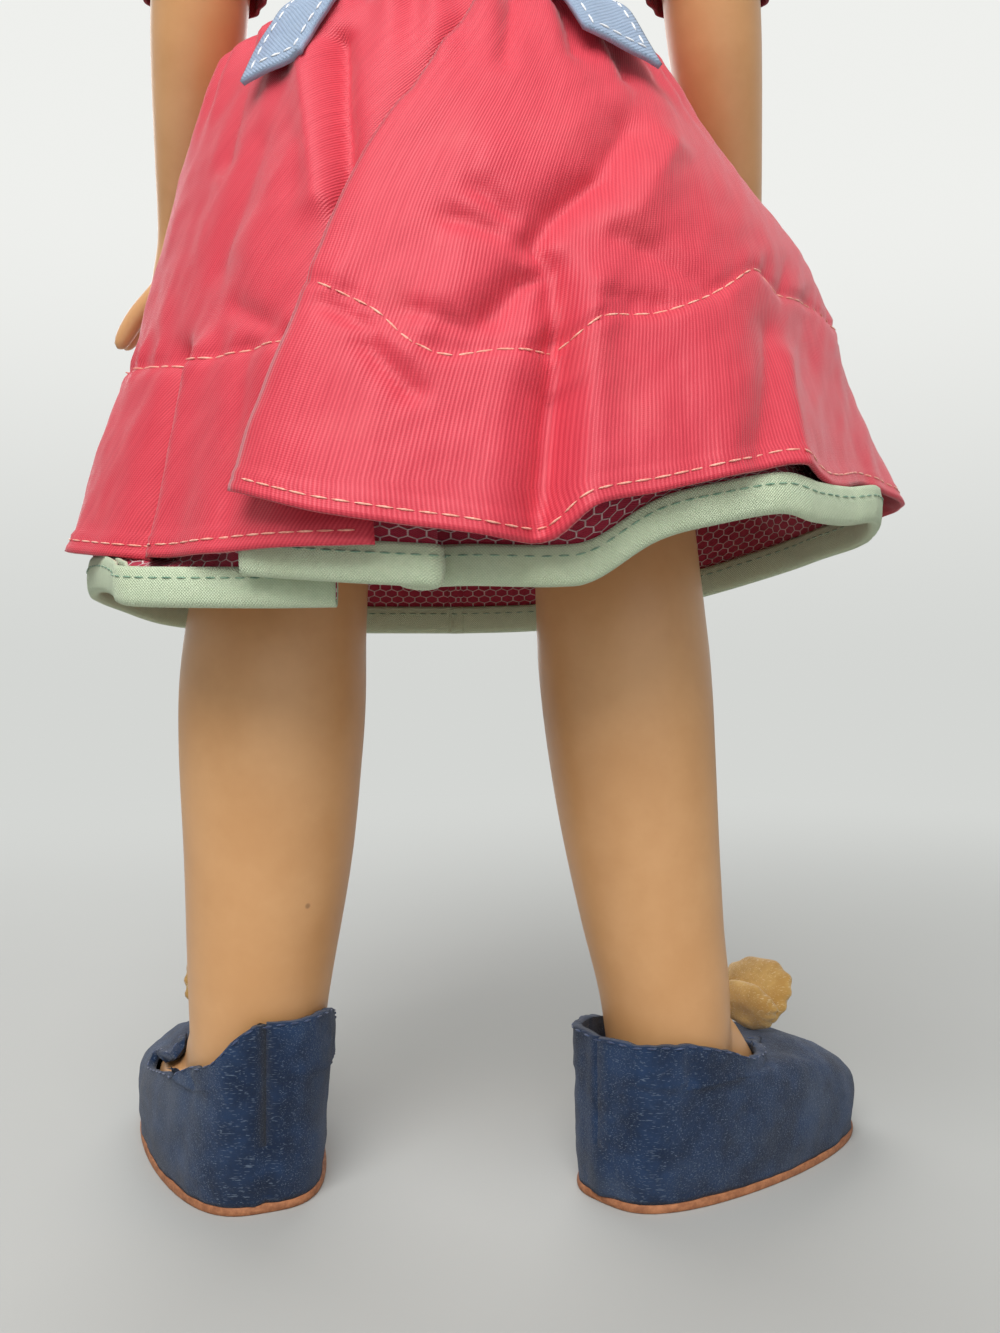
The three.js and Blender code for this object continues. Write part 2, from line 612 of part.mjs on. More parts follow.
function addArm(side, name) {
  const shoulder = vec(side * ARM_X, 0, SHOULDER_Z);
  const wrist = onSide(side, WRIST);
  const reach = handReach(side);
  const knuckles = atKnuckles(side);
  const curve = armCurve(side);
  const flat = vec(0, 1, 0).addScaledVector(reach, -reach.y).normalize();
  const thick = profile([
    [0, UPPER_ARM_RADIUS],
    [0.42, FOREARM_RADIUS],
    [0.8, WRIST_RADIUS],
    [1, FINGER_RADIUS * 1.5],
  ]);
  const wide = profile([
    [0, UPPER_ARM_RADIUS],
    [0.42, FOREARM_RADIUS],
    [0.8, WRIST_RADIUS],
    [0.92, PALM_HALF],
    [1, PALM_HALF],
  ]);
  let shape = solid(loft(sweepRings(curve, 9, LIMB_SIDES, (t) => [wide(t), thick(t)], flat)));
  shape = shape.add(solid(ball(shoulder, ARM_BALL)));
  const spread = (2 * (PALM_HALF - FINGER_RADIUS)) / 3;
  for (const [i, share] of [0.82, 0.98, 1, 0.9].entries()) {
    const root = knuckles.clone().addScaledVector(flat, (i - 1.5) * spread).addScaledVector(reach, -3);
    const tip = root.clone().addScaledVector(reach, 3 + FINGER_LENGTH * share);
    tip.addScaledVector(flat, (i - 1.5) * 0.8);
    shape = shape.add(solid(finger(root, tip, FINGER_RADIUS)));
  }
  const thumbRoot = wrist.clone().addScaledVector(reach, 3).addScaledVector(flat, -PALM_HALF * 0.6);
  const thumbTip = thumbRoot.clone().addScaledVector(reach, 9).addScaledVector(flat, -5);
  shape = shape.add(solid(finger(thumbRoot, thumbTip, FINGER_RADIUS * 1.1)));

  const hollow = sweepRings(curve, 8, 6, (t) => [thick(t) - PLASTIC, thick(t) - PLASTIC], flat);
  shape = shape.subtract(solid(loft(hollow.slice(2, 7))));
  const inward = (gap) => vec(side * (ARM_X - gap), 0, SHOULDER_Z);
  const eye = ARM_BALL - EYE_RING - WIRE;
  shape = shape.subtract(solid(rod(inward(ARM_BALL * 1.2), inward(eye - EYE_RING - WIRE - CLEAR), ARM_ROOM)));
  shape = shape.subtract(solid(rod(inward(eye), inward(-PLASTIC), WIRE + CLEAR)));
  const hang = wrist.clone().sub(shoulder).normalize();
  const seam = vec(side, 0, 0).addScaledVector(hang, -side * hang.x);
  addHalves(shape, `${name}_arm_outer`, `${name}_arm_inner`, shoulder, seam, "plastic");

  const ring = solid(eyeRing(inward(eye), EYE_RING, vec(0, 1, 0)));
  const shank = solid(rod(inward(eye - EYE_RING), inward(-PLASTIC + CLEAR), WIRE, 8));
  add(`${name}_arm_hook`, ring.add(shank), "steel");
}

// Stringing

function addStringing() {
  for (const [side, name] of [[1, "left"], [-1, "right"]]) {
    const hip = vec(side * HIP_X, 0, HIP_Z);
    const top = vec(0, side * (CORD + CLEAR), CORD_TOP);
    const pull = cordPull(side);
    const apart = vec(pull.z, 0, -pull.x);
    const spot = (end, along, out) => end.clone().addScaledVector(pull, along).addScaledVector(apart, out);
    const open = EYE_RING + CORD;
    const hang = NECK_RING + CLEAR * 2;
    add(`${name}_leg_elastic`, cordLoop([
      spot(hip, -WIRE, 0),
      spot(hip, WIRE * 2, open),
      spot(hip.clone().lerp(top, 0.5), 0, open),
      spot(top, -hang, hang),
      top,
      spot(top, -hang, -hang),
      spot(hip.clone().lerp(top, 0.5), 0, -open),
      spot(hip, WIRE * 2, -open),
    ], 30), "elastic");
  }
  const eye = ARM_X - ARM_BALL + EYE_RING + WIRE;
  const row = WIRE + CORD + CLEAR;
  add("arm_elastic", cordLoop([
    vec(eye, 0, SHOULDER_Z),
    vec(eye - 2, row, SHOULDER_Z),
    vec(0, row, SHOULDER_Z),
    vec(2 - eye, row, SHOULDER_Z),
    vec(-eye, 0, SHOULDER_Z),
    vec(2 - eye, -row, SHOULDER_Z),
    vec(0, -row, SHOULDER_Z),
    vec(eye - 2, -row, SHOULDER_Z),
  ], 24), "elastic");

  const loopRadius = BAR_RADIUS + CLEAR + WIRE;
  const lower = eyeRing(vec(0, 0, NECK_RING_Z), NECK_RING, vec(1, 0, 0));
  const upper = eyeRing(vec(0, 0, NECK_Z), loopRadius, vec(1, 0, 0));
  const shank = rod(vec(0, 0, NECK_RING_Z + NECK_RING), vec(0, 0, NECK_Z - loopRadius), WIRE, 8);
  add("neck_hook", solid(lower).add(solid(upper)).add(solid(shank)), "steel");
  const barEnd = NECK_BALL - PLASTIC / 2;
  add("head_bar", rod(vec(-barEnd, 0, NECK_Z), vec(barEnd, 0, NECK_Z), BAR_RADIUS, 10), "steel");
}

// Head

const HEAD_TALL = CROWN_Z - CHIN_Z;
const NAPE_Z = CHIN_Z - 7; // where the head's form runs into the neck
const atHead = (share) => CHIN_Z + HEAD_TALL * share;
const HOLLOW_LEVELS = [0.1, 0.2, 0.33, 0.47, 0.65, 0.82, 0.92].map(atHead);
const HEAD_LEVELS = [NAPE_Z, CHIN_Z - 1, CHIN_Z + 3, ...HOLLOW_LEVELS, atHead(0.98), CROWN_Z];
const headHalf = profile([
  [NAPE_Z, NECK_BALL - 1],
  [CHIN_Z - 1, NECK_BALL],
  [CHIN_Z + 3, FACE_HALF - 13],
  [atHead(0.2), FACE_HALF - 4],
  [atHead(0.47), FACE_HALF],
  [atHead(0.65), FACE_HALF - 0.4],
  [atHead(0.82), FACE_HALF - 4],
  [atHead(0.92), FACE_HALF - 10.5],
  [atHead(0.98), FACE_HALF - 20],
  [CROWN_Z, 5],
]);
const headFront = profile([
  [NAPE_Z, NECK_BALL - 1],
  [CHIN_Z - 1, NECK_BALL + 1],
  [CHIN_Z + 3, FACE_DEPTH - 5.5],
  [atHead(0.2), FACE_DEPTH],
  [atHead(0.33), FACE_DEPTH + 0.5],
  [atHead(0.47), FACE_DEPTH - 0.7],
  [atHead(0.65), FACE_DEPTH],
  [atHead(0.82), FACE_DEPTH - 3.5],
  [atHead(0.92), FACE_DEPTH - 10],
  [atHead(0.98), FACE_DEPTH - 19.5],
  [CROWN_Z, 5],
]);
const headBack = profile([
  [NAPE_Z, NECK_BALL - 1],
  [CHIN_Z + 3, NECK_BALL + 1],
  [atHead(0.2), SKULL_DEPTH - 9],
  [atHead(0.47), SKULL_DEPTH],
  [atHead(0.65), SKULL_DEPTH],
  [atHead(0.82), SKULL_DEPTH - 4.5],
  [atHead(0.92), SKULL_DEPTH - 11.5],
  [atHead(0.98), SKULL_DEPTH - 22],
  [CROWN_Z, 5],
]);
const headRadius = (a, z) => ovalRadius(a, headHalf(z), headFront(z), headBack(z));

function headForm(grow, levels) {
  return loft(levels.map((z) => levelRing(z, (a) => headRadius(a, z) + grow, HEAD_SIDES)));
}

const EAR_HALF = 2;
const EAR_Z = EYE_Z - 5;
const earAt = (side) => vec(side * (headHalf(EAR_Z) - EAR_HALF / 5), EAR_HALF, EAR_Z);

function addHead() {
  const neck = vec(0, 0, NECK_Z);
  const faceY = (x, z) => -headRadius(Math.atan2(-FACE_DEPTH, x), z);
  let shape = solid(headForm(0, HEAD_LEVELS));
  shape = shape.add(solid(ball(neck, NECK_BALL)));
  shape = shape.add(solid(rod(neck, vec(0, 0, CHIN_Z), NECK_BALL - 1.2, BALL_SIDES)));
  const noseZ = EYE_Z - 11;
  const mouthZ = EYE_Z - 20;
  shape = shape.add(solid(egg(vec(0, faceY(0, noseZ) - 0.2, noseZ), 3, 4, 3.2)));
  shape = shape.add(solid(egg(vec(0, faceY(0, mouthZ) + 0.4, mouthZ + 0.8), 5, 2, 1.2)));
  shape = shape.add(solid(egg(vec(0, faceY(0, mouthZ) + 0.5, mouthZ - 1), 3.6, 2.1, 1.3)));
  for (const side of [1, -1]) {
    shape = shape.add(solid(egg(earAt(side), EAR_HALF, EAR_HALF * 2, EAR_HALF * 3)));
  }
  shape = shape.subtract(solid(headForm(-PLASTIC, HOLLOW_LEVELS)));
  const throat = rod(vec(0, 0, atHead(0.15)), vec(0, 0, NECK_Z - NECK_BALL * 1.2), NECK_BALL / 2 - CLEAR);
  shape = shape.subtract(solid(throat));
  shape = shape.subtract(solid(rod(vec(-NECK_BALL, 0, NECK_Z), vec(NECK_BALL, 0, NECK_Z), BAR_RADIUS + CLEAR)));
  const axle = vec(AXLE_HALF + CLEAR, EYE_Y, EYE_Z);
  shape = shape.subtract(solid(rod(vec(-axle.x, axle.y, axle.z), axle, AXLE_RADIUS + CLEAR)));
  for (const side of [1, -1]) {
    const centre = vec(side * EYE_X, EYE_Y, EYE_Z);
    shape = shape.subtract(solid(ball(centre, EYEBALL + CLEAR, 16)));
    const window = rod(centre, vec(centre.x, EYE_Y - FACE_DEPTH, EYE_Z), 1, 16);
    window.translate(-centre.x, 0, -EYE_Z).scale(EYE_OPENING_HALF, 1, EYE_OPENING_TALL);
    shape = shape.subtract(solid(window.translate(centre.x, 0, EYE_Z)));
  }
  addHalves(shape, "head_face", "head_back", vec(0, 1, 0), vec(0, -1, 0), "plastic");

  for (const [side, name] of [[1, "left"], [-1, "right"]]) {
    const centre = vec(side * EYE_X, EYE_Y, EYE_Z);
    const along = vec(EYEBALL * 2, 0, 0);
    const bore = rod(centre.clone().sub(along), centre.clone().add(along), AXLE_RADIUS + CLEAR);
    add(`${name}_eye`, solid(ball(centre, EYEBALL, 14)).subtract(solid(bore)), "eye");
    const lift = radians(LASH_ANGLE);
    const rim = steps(-0.42, 0.42, 6).map((turn) => {
      const level = Math.cos(lift);
      const out = vec(Math.sin(turn) * level, -Math.cos(turn) * level, Math.sin(lift));
      const up = vec(0, 0, LASH_THICK / 2);
      const near = centre.clone().addScaledVector(out, EYEBALL + CLEAR);
      const far = near.clone().addScaledVector(out, LASH_LENGTH * Math.cos(turn * 1.6));
      return [near.clone().sub(up), far.clone().sub(up), far.clone().add(up), near.clone().add(up)];
    });
    add(`${name}_lashes`, loft(rim), "lash");
  }
  const drop = vec(0, EYE_Y + 2, EYE_Z - ROCKER_DROP);
  const rocker = solid(rod(vec(-AXLE_HALF, EYE_Y, EYE_Z), vec(AXLE_HALF, EYE_Y, EYE_Z), AXLE_RADIUS));
  add("eye_rocker", rocker.add(solid(rod(vec(0, EYE_Y, EYE_Z), drop, AXLE_RADIUS, 8))), "steel");
  const weight = rod(vec(-EYEBALL, drop.y, drop.z), vec(EYEBALL, drop.y, drop.z), WEIGHT_RADIUS, 12);
  const hole = rod(vec(0, EYE_Y, EYE_Z), drop.clone().add(vec(0, 0, -CLEAR)), AXLE_RADIUS + CLEAR, 8);
  add("eye_weight", solid(weight).subtract(solid(hole)), "lead");
}

function addHair() {
  const wave = (a, z) => 0.9 * Math.cos(a * 6 + z * 0.25) * smooth(CROWN_Z - z, 6, 30);
  const thick = (z) => mix(HAIR_THICK, CROWN_HAIR, smooth(z, FRINGE_Z, CROWN_Z));
  const levels = [...steps(HAIR_END_Z, CROWN_Z - 3, 7), CROWN_Z + CROWN_HAIR];
  const outer = loft(levels.map((z) => {
    const below = Math.min(z, CROWN_Z - 2.5);
    const shrink = z > CROWN_Z ? 0.55 : 1;
    return levelRing(z, (a) => (headRadius(a, below) + thick(z) + wave(a, z)) * shrink, HAIR_SIDES);
  }));
  let hair = solid(outer).subtract(solid(headForm(CLEAR, [...HEAD_LEVELS.slice(0, -1), CROWN_Z + CLEAR])));
  for (const side of [1, -1]) {
    const room = EAR_HALF + CLEAR * 2;
    hair = hair.subtract(solid(egg(earAt(side), room, room + EAR_HALF, room + EAR_HALF * 2)));
  }
  const half = FACE_HALF - 6;
  const face = new THREE.Shape();
  face.moveTo(-half, CHIN_Z - 20);
  face.lineTo(half, CHIN_Z - 20);
  face.lineTo(half, FRINGE_Z - half * 0.6);
  face.absellipse(0, FRINGE_Z - half * 0.6, half, half * 0.6, 0, Math.PI, false);
  const window = new THREE.ExtrudeGeometry(face, { depth: FACE_DEPTH * 2, bevelEnabled: false, curveSegments: 12 });
  window.rotateX(Math.PI / 2).translate(0, -6, 0);
  add("wig", hair.subtract(solid(window)), "hair");
}

// Dress

// Both armholes of a garment, cut in from the sides.
function armholes(radius) {
  const at = (x) => vec(x, 0, SHOULDER_Z);
  const inner = CHEST_HALF - ARMHOLE_DEPTH;
  const right = rod(at(-ARM_X * 2), at(-inner), radius, BODY_SIDES);
  const left = rod(at(inner), at(ARM_X * 2), radius, BODY_SIDES);
  return solid(right).add(solid(left));
}

function addBodice() {
  const low = SKIRT_TOP + CLEAR;
  const cloth = torsoLayer(CLEAR, COTTON, low, BODICE_TOP);
  add("bodice", cloth.subtract(armholes(ARMHOLE)), "bodice");
  const band = torsoLayer(CLEAR * 2 + COTTON, BAND_THICK, low, low + BAND_HEIGHT);
  add("waistband", band, "skirt");
}

function addSleeve(side, name) {
  const curve = armCurve(side);
  const shoulder = curve.getPoint(0);
  // The middle of the arm at one height, found by halving.
  const centre = (z) => {
    let [low, high] = [0, 1];
    for (let i = 0; i < 24; i += 1) {
      const half = (low + high) / 2;
      if (curve.getPoint(half).z > z) low = half;
      else high = half;
    }
    return curve.getPoint(low);
  };
  const tube = (radius) => {
    const rings = steps(SLEEVE_END_Z, SHOULDER_Z, 4).map((z, i) => {
      const full = mix(SLEEVE_END_RADIUS, SLEEVE_RADIUS, Math.pow(i / 4, 1.5)) + radius;
      return levelRing(z, () => full, SLEEVE_SIDES, centre(z).x, centre(z).y);
    });
    for (const lift of [35, 70]) {
      const full = SLEEVE_RADIUS + radius;
      const z = SHOULDER_Z + full * Math.sin(radians(lift));
      rings.push(levelRing(z, () => full * Math.cos(radians(lift)), SLEEVE_SIDES, shoulder.x, shoulder.y));
    }
    return rings;
  };
  const inner = tube(-COTTON);
  inner[0].forEach((p) => { p.z -= COTTON; });
  const shell = solid(loft(tube(0))).subtract(solid(loft(inner)));
  const cut = vec(side * (SHOULDER_HALF + CLEAR * 4), 0, 0);
  add(`${name}_sleeve`, keepSide(shell, cut, vec(side, 0, 0)), "bodice");
}

// How far down the skirt a height lies, 0 at the waist and 1 at the flare's level.
const fallAt = (z) => Math.max((SKIRT_TOP - z) / (SKIRT_TOP - HEM_LEVEL), 0);
const leanAt = (z) => SKIRT_LEAN * fallAt(z);
// The back overlap runs from the middle of the waist towards the doll's left.
const overlapAngle = (z) => radians(mix(94, 54, Math.min(fallAt(z) / 0.85, 1)));

// The gathered and fluted form that skirt and petticoat share.
function flareRadius(a, z) {
  const fall = fallAt(z);
  const half = mix(SKIRT_WAIST_HALF, SKIRT_HEM_HALF, Math.pow(fall, SKIRT_FLARE));
  const depth = half * mix(WAIST_ROUND, HEM_ROUND, Math.min(fall, 1));
  const flute = FLUTE_DEPTH * Math.pow(fall, 1.4) * Math.cos(FLUTES * (a - radians(97)) + Math.PI);
  return ovalRadius(a, half, depth, depth) + flute;
}

// The right back panel stands proud of the left one along the overlap.
function skirtRadius(a, z) {
  const past = THREE.MathUtils.euclideanModulo(a - overlapAngle(z) + 0.01, 2 * Math.PI);
  return flareRadius(a, z) + OVERLAP_STEP * smooth(fallAt(z), 0, 0.5) * Math.exp(-past * 1.4);
}

// The hem rises at the right of the back, where the skirt is spread widest.
const skirtHem = (a) => SKIRT_HEM_Z + HEM_LIFT * Math.pow(Math.max(Math.cos(a - radians(148)), 0), 2);

// Angles round the skirt, starting on the overlap's edge and ending just under it.
function skirtAngles(t) {
  const under = radians(1.4);
  const start = overlapAngle(mix(SKIRT_TOP, SKIRT_HEM_Z, t));
  return steps(0, 2 * Math.PI - under, CLOTH_SIDES - 1).map((a) => start + a);
}

// A closed skin of cloth through rows of points, the outer face down and the inner face back up.
function clothTube(rows, anglesAt, levelAt, radius, thick) {
  const ring = (i, inset) =>
    anglesAt(i / rows).map((a) => {
      const z = levelAt(a, i);
      const r = radius(a, z) - inset;
      return vec(leanAt(z) + r * Math.cos(a), r * Math.sin(a), z);
    });
  const order = Array.from({ length: rows + 1 }, (_, i) => i);
  const outer = order.map((i) => ring(i, 0));
  const inner = [...order].reverse().map((i) => ring(i, thick));
  return loft([...outer, ...inner], true);
}

const petticoatHem = (a) => skirtHem(a) - PETTICOAT_DROP;

// Deep folds of the petticoat below the skirt's hem, only inwards.
function petticoatRadius(a, z) {
  const fold = smooth(SKIRT_HEM_Z + 16 - z, 0, 26) * (0.5 - 0.5 * Math.cos(9 * a));
  return flareRadius(a, z) - SKIRT_CLOTH - LAYER_GAP - BINDING_THICK - CLEAR - PETTICOAT_FLUTE * fold;
}

function addSkirts() {
  const rows = 7;
  const skirtLevel = (a, i) => mix(SKIRT_TOP, skirtHem(a), i / rows);
  add("skirt", clothTube(rows, skirtAngles, skirtLevel, skirtRadius, SKIRT_CLOTH), "skirt");

  const round = () => angles(CLOTH_SIDES);
  const bindingTop = (a) => petticoatHem(a) - BINDING_THICK + BINDING_DEPTH;
  const level = (a, i) => {
    const bound = petticoatHem(a) + CLEAR;
    return i < rows - 1 ? mix(SKIRT_TOP, bindingTop(a), i / (rows - 2)) : bound;
  };
  add("petticoat", clothTube(rows - 1, round, level, petticoatRadius, PETTICOAT_CLOTH), "petticoat");

  const outside = -CLEAR - BINDING_THICK;
  const inside = PETTICOAT_CLOTH + CLEAR;
  const corner = (out, rise) =>
    angles(CLOTH_SIDES).map((a) => {
      const z = petticoatHem(a) - BINDING_THICK + rise;
      const r = petticoatRadius(a, z) - out;
      return vec(leanAt(z) + r * Math.cos(a), r * Math.sin(a), z);
    });
  add("petticoat_binding", loft([
    corner(outside, 0),
    corner(outside, BINDING_DEPTH),
    corner(outside + BINDING_THICK, BINDING_DEPTH),
    corner(outside + BINDING_THICK, BINDING_THICK),
    corner(inside, BINDING_THICK),
    corner(inside, BINDING_DEPTH),
    corner(inside + BINDING_THICK, BINDING_DEPTH),
    corner(inside + BINDING_THICK, 0),
  ], true), "binding");
}

// Vest

function vestHem(a) {
  const fromBack = Math.abs(a - Math.PI / 2);
  const tail = Math.abs(fromBack - radians(VEST_TAIL_ANGLE)) / radians(VEST_TAIL_WIDTH);
  const level = mix(VEST_BACK_Z, VEST_SIDE_Z, smooth(fromBack, 0, Math.PI / 2));
  return mix(VEST_TAIL_Z, level, smooth(tail, 0.35, 1));
}

function vestRadius(a, z) {
  const overBodice = torsoRadius(a, z) + CLEAR + COTTON + VEST_EASE;
  const bandTop = SKIRT_TOP + BAND_HEIGHT;
  const overBand = (BAND_THICK + CLEAR) * (1 - smooth(z, bandTop + 3, bandTop + 10));
  const overSkirt = z < SKIRT_TOP + VEST_CLOTH * 2 ? skirtRadius(a, z) + VEST_EASE + Math.abs(leanAt(z)) : 0;
  return Math.max(overBodice + overBand, overSkirt);
}

function addVest() {
  const from = -Math.PI / 2 + radians(VEST_FRONT_GAP);
  const to = (3 * Math.PI) / 2 - radians(VEST_FRONT_GAP);
  const sections = steps(from, to, 28).map((a) => {
    const hem = vestHem(a);
    const waist = Math.max(hem + VEST_CLOTH * 2, SKIRT_TOP + VEST_CLOTH);
    const levels = [...steps(hem, waist, 3), ...steps(waist, VEST_TOP, 4).slice(1)];
    const spot = (z, r) => vec(r * Math.cos(a), r * Math.sin(a), z);
    const inner = levels.map((z) => spot(z, vestRadius(a, z)));
    const outer = levels.map((z) => spot(z, vestRadius(a, z) + VEST_CLOTH)).reverse();
    return [...inner, ...outer];
  });
  add("vest", solid(loft(sections)).subtract(armholes(VEST_ARMHOLE)), "vest");
}

addTorso();
for (const [side, name] of [[1, "left"], [-1, "right"]]) {
  addLeg(side, name);
  addArm(side, name);
  addSleeve(side, name);
}
addStringing();
addHead();
addHair();
addBodice();
addSkirts();
addVest();

// The origin is the middle of the whole doll's box, on the floor.
const box = new THREE.Box3().setFromObject(doll);
const middle = box.getCenter(vec(0, 0, 0));
doll.position.set(-middle.x, -middle.y, -box.min.z);

export default doll;
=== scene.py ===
import math
import random

import bpy
from mathutils import Matrix, Vector, noise


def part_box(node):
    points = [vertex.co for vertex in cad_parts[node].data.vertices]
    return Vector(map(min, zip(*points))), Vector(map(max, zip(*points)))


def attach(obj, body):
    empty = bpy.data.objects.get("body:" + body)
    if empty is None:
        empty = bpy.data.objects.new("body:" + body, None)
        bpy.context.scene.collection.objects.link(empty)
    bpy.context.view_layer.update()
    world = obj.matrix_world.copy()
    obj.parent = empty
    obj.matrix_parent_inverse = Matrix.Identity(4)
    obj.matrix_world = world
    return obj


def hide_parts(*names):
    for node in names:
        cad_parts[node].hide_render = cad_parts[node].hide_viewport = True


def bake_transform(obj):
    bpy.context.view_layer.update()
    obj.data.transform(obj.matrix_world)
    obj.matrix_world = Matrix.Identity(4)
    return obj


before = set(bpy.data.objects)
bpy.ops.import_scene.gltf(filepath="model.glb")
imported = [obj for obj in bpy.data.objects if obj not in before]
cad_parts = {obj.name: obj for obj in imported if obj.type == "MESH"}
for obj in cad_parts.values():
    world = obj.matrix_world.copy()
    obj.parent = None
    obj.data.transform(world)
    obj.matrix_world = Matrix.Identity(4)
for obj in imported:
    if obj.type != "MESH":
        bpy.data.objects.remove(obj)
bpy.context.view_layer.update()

# Sizes are in millimetres in the doll's own frame: feet at z = 0, facing -Y, its left side at +X.
MM = 0.001
BAR_LOW, BAR_HIGH = (Vector(corner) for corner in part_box("head_bar"))
MIDDLE = (BAR_LOW + BAR_HIGH) / 2
SIDES = {"left": 1, "right": -1}


def at(x, y, z):
    """A point of the doll's frame as a point of the scene."""
    return Vector((x * MM + MIDDLE.x, y * MM + MIDDLE.y, z * MM))


def round_at(radius, a, z):
    return at(radius * math.cos(a), radius * math.sin(a), z)


def mix(a, b, t):
    return a + (b - a) * t


def clamp(value, low=0.0, high=1.0):
    return max(low, min(high, value))


def ease(value, low, high):
    """0 below low, 1 above high, smooth between."""
    t = clamp((value - low) / (high - low))
    return t * t * (3 - 2 * t)


def bump(value, width):
    return math.exp(-(value / width) ** 2)


def ripple(x, y, z=0.0):
    return noise.noise(Vector((x, y, z)))


def curve_through(*pairs):
    """Smooth curve through (place, value) pairs, level beyond its ends."""
    pairs = sorted(pairs)

    def slope(k):
        low, high = pairs[max(k - 1, 0)], pairs[min(k + 1, len(pairs) - 1)]
        return (high[1] - low[1]) / (high[0] - low[0])

    def value(place):
        if place <= pairs[0][0]:
            return pairs[0][1]
        if place >= pairs[-1][0]:
            return pairs[-1][1]
        i = next(k for k, pair in enumerate(pairs) if pair[0] > place) - 1
        width = pairs[i + 1][0] - pairs[i][0]
        s = (place - pairs[i][0]) / width
        start = slope(i) * width * s * (1 - s) ** 2
        finish = slope(i + 1) * width * s * s * (1 - s)
        return mix(pairs[i][1], pairs[i + 1][1], s * s * (3 - 2 * s)) + start - finish

    return value


def line_through(points):
    """Smooth line through points; returns a function of a share of its length."""
    points = [Vector(p) for p in points]
    dense = []
    for i in range(len(points) - 1):
        p0, p1, p2, p3 = (points[clamp(i + k, 0, len(points) - 1)] for k in (-1, 0, 1, 2))
        for k in range(12):
            t = k / 12
            dense.append(0.5 * (2 * p1 + (p2 - p0) * t + (2 * p0 - 5 * p1 + 4 * p2 - p3) * t * t
                                + (3 * p1 - p0 - 3 * p2 + p3) * t ** 3))
    dense.append(points[-1])
    run = [0.0]
    for a, b in zip(dense, dense[1:]):
        run.append(run[-1] + (b - a).length)

    def where(share):
        goal = clamp(share) * run[-1]
        i = next((k for k, r in enumerate(run) if r > goal), len(run) - 1)
        t = (goal - run[i - 1]) / max(run[i] - run[i - 1], 1e-9)
        return dense[i - 1].lerp(dense[i], t)

    where.length = run[-1]
    return where


# Modelling by hand


def only(piece):
    """Selects one piece and nothing else."""
    if bpy.context.object and bpy.context.object.mode != "OBJECT":
        bpy.ops.object.mode_set(mode="OBJECT")
    bpy.ops.object.select_all(action="DESELECT")
    piece.select_set(True)
    bpy.context.view_layer.objects.active = piece


def in_edit(piece, *steps):
    """Runs edit mode operators on the whole of a piece."""
    only(piece)
    bpy.ops.object.mode_set(mode="EDIT")
    bpy.ops.mesh.select_all(action="SELECT")
    for step in steps:
        step()
    bpy.ops.object.mode_set(mode="OBJECT")


def merge_doubles():
    bpy.ops.mesh.remove_doubles(threshold=0.00001)


def face_out():
    bpy.ops.mesh.normals_make_consistent(inside=False)


def modify(piece, kind, **settings):
    """Adds a modifier and applies it at once."""
    only(piece)
    modifier = piece.modifiers.new(kind.title(), kind)
    for name, value in settings.items():
        setattr(modifier, name, value)
    bpy.ops.object.modifier_apply(modifier=modifier.name)


def thicken(piece, thick, offset=-1.0):
    modify(piece, "SOLIDIFY", thickness=thick * MM, offset=offset)


def soften(piece):
    only(piece)
    bpy.ops.object.shade_smooth()


def named(piece, name):
    piece.name = name
    piece.data.name = name
    return piece


def begin(name, primitive, **settings):
    """Adds a primitive to shape, with nothing else selected."""
    bpy.ops.object.select_all(action="DESELECT")
    primitive(**settings)
    return named(bpy.context.active_object, name)


def lay_grid(name, across, along, place, flat=(1.0, 1.0), closed=False, outward=False):
    """A grid with its points at place(u, v); its UV map holds millimetres of the flat cloth."""
    piece = begin(name, bpy.ops.mesh.primitive_grid_add,
                  x_subdivisions=across, y_subdivisions=along, size=2, calc_uvs=True)
    mesh = piece.data
    share = [((v.co.x + 1) / 2, (v.co.y + 1) / 2) for v in mesh.vertices]
    for v, (s, t) in zip(mesh.vertices, share):
        v.co = place(s, t)
    for corner, uv in zip(mesh.loops, mesh.uv_layers.active.data):
        s, t = share[corner.vertex_index]
        uv.uv = (s * flat[0], t * flat[1])
    if closed:
        in_edit(piece, merge_doubles, face_out)
    elif outward:
        in_edit(piece, face_out)
    soften(piece)
    return piece


def ball(name, centre, radius, segments=48):
    piece = begin(name, bpy.ops.mesh.primitive_uv_sphere_add,
                  segments=segments, ring_count=segments // 2, radius=radius * MM)
    for v in piece.data.vertices:
        v.co += centre
    return piece


def rod(name, start, end, radius, sides=40):
    piece = begin(name, bpy.ops.mesh.primitive_cylinder_add,
                  vertices=sides, radius=radius * MM, depth=(end - start).length)
    turn = (end - start).to_track_quat("Z", "Y")
    for v in piece.data.vertices:
        v.co = (start + end) / 2 + turn @ v.co
    return piece


def close_ends(piece):
    """Fills the open rims of a tube."""
    only(piece)
    bpy.ops.object.mode_set(mode="EDIT")
    bpy.ops.mesh.select_all(action="DESELECT")
    bpy.ops.mesh.select_non_manifold(
        extend=False, use_wire=False, use_multi_face=False, use_verts=False)
    bpy.ops.mesh.fill_holes(sides=0)
    bpy.ops.mesh.select_all(action="SELECT")
    face_out()
    bpy.ops.object.mode_set(mode="OBJECT")


def join(name, pieces):
    """Joins pieces into the first one."""
    only(pieces[0])
    for piece in pieces[1:]:
        piece.select_set(True)
    if len(pieces) > 1:
        bpy.ops.object.join()
    return named(bpy.context.active_object, name)


def cut_with(piece, cutter):
    """Takes the cutter's form out of the piece, and the cutter away."""
    modify(piece, "BOOLEAN", operation="DIFFERENCE", solver="EXACT", object=cutter)
    bpy.data.objects.remove(cutter)


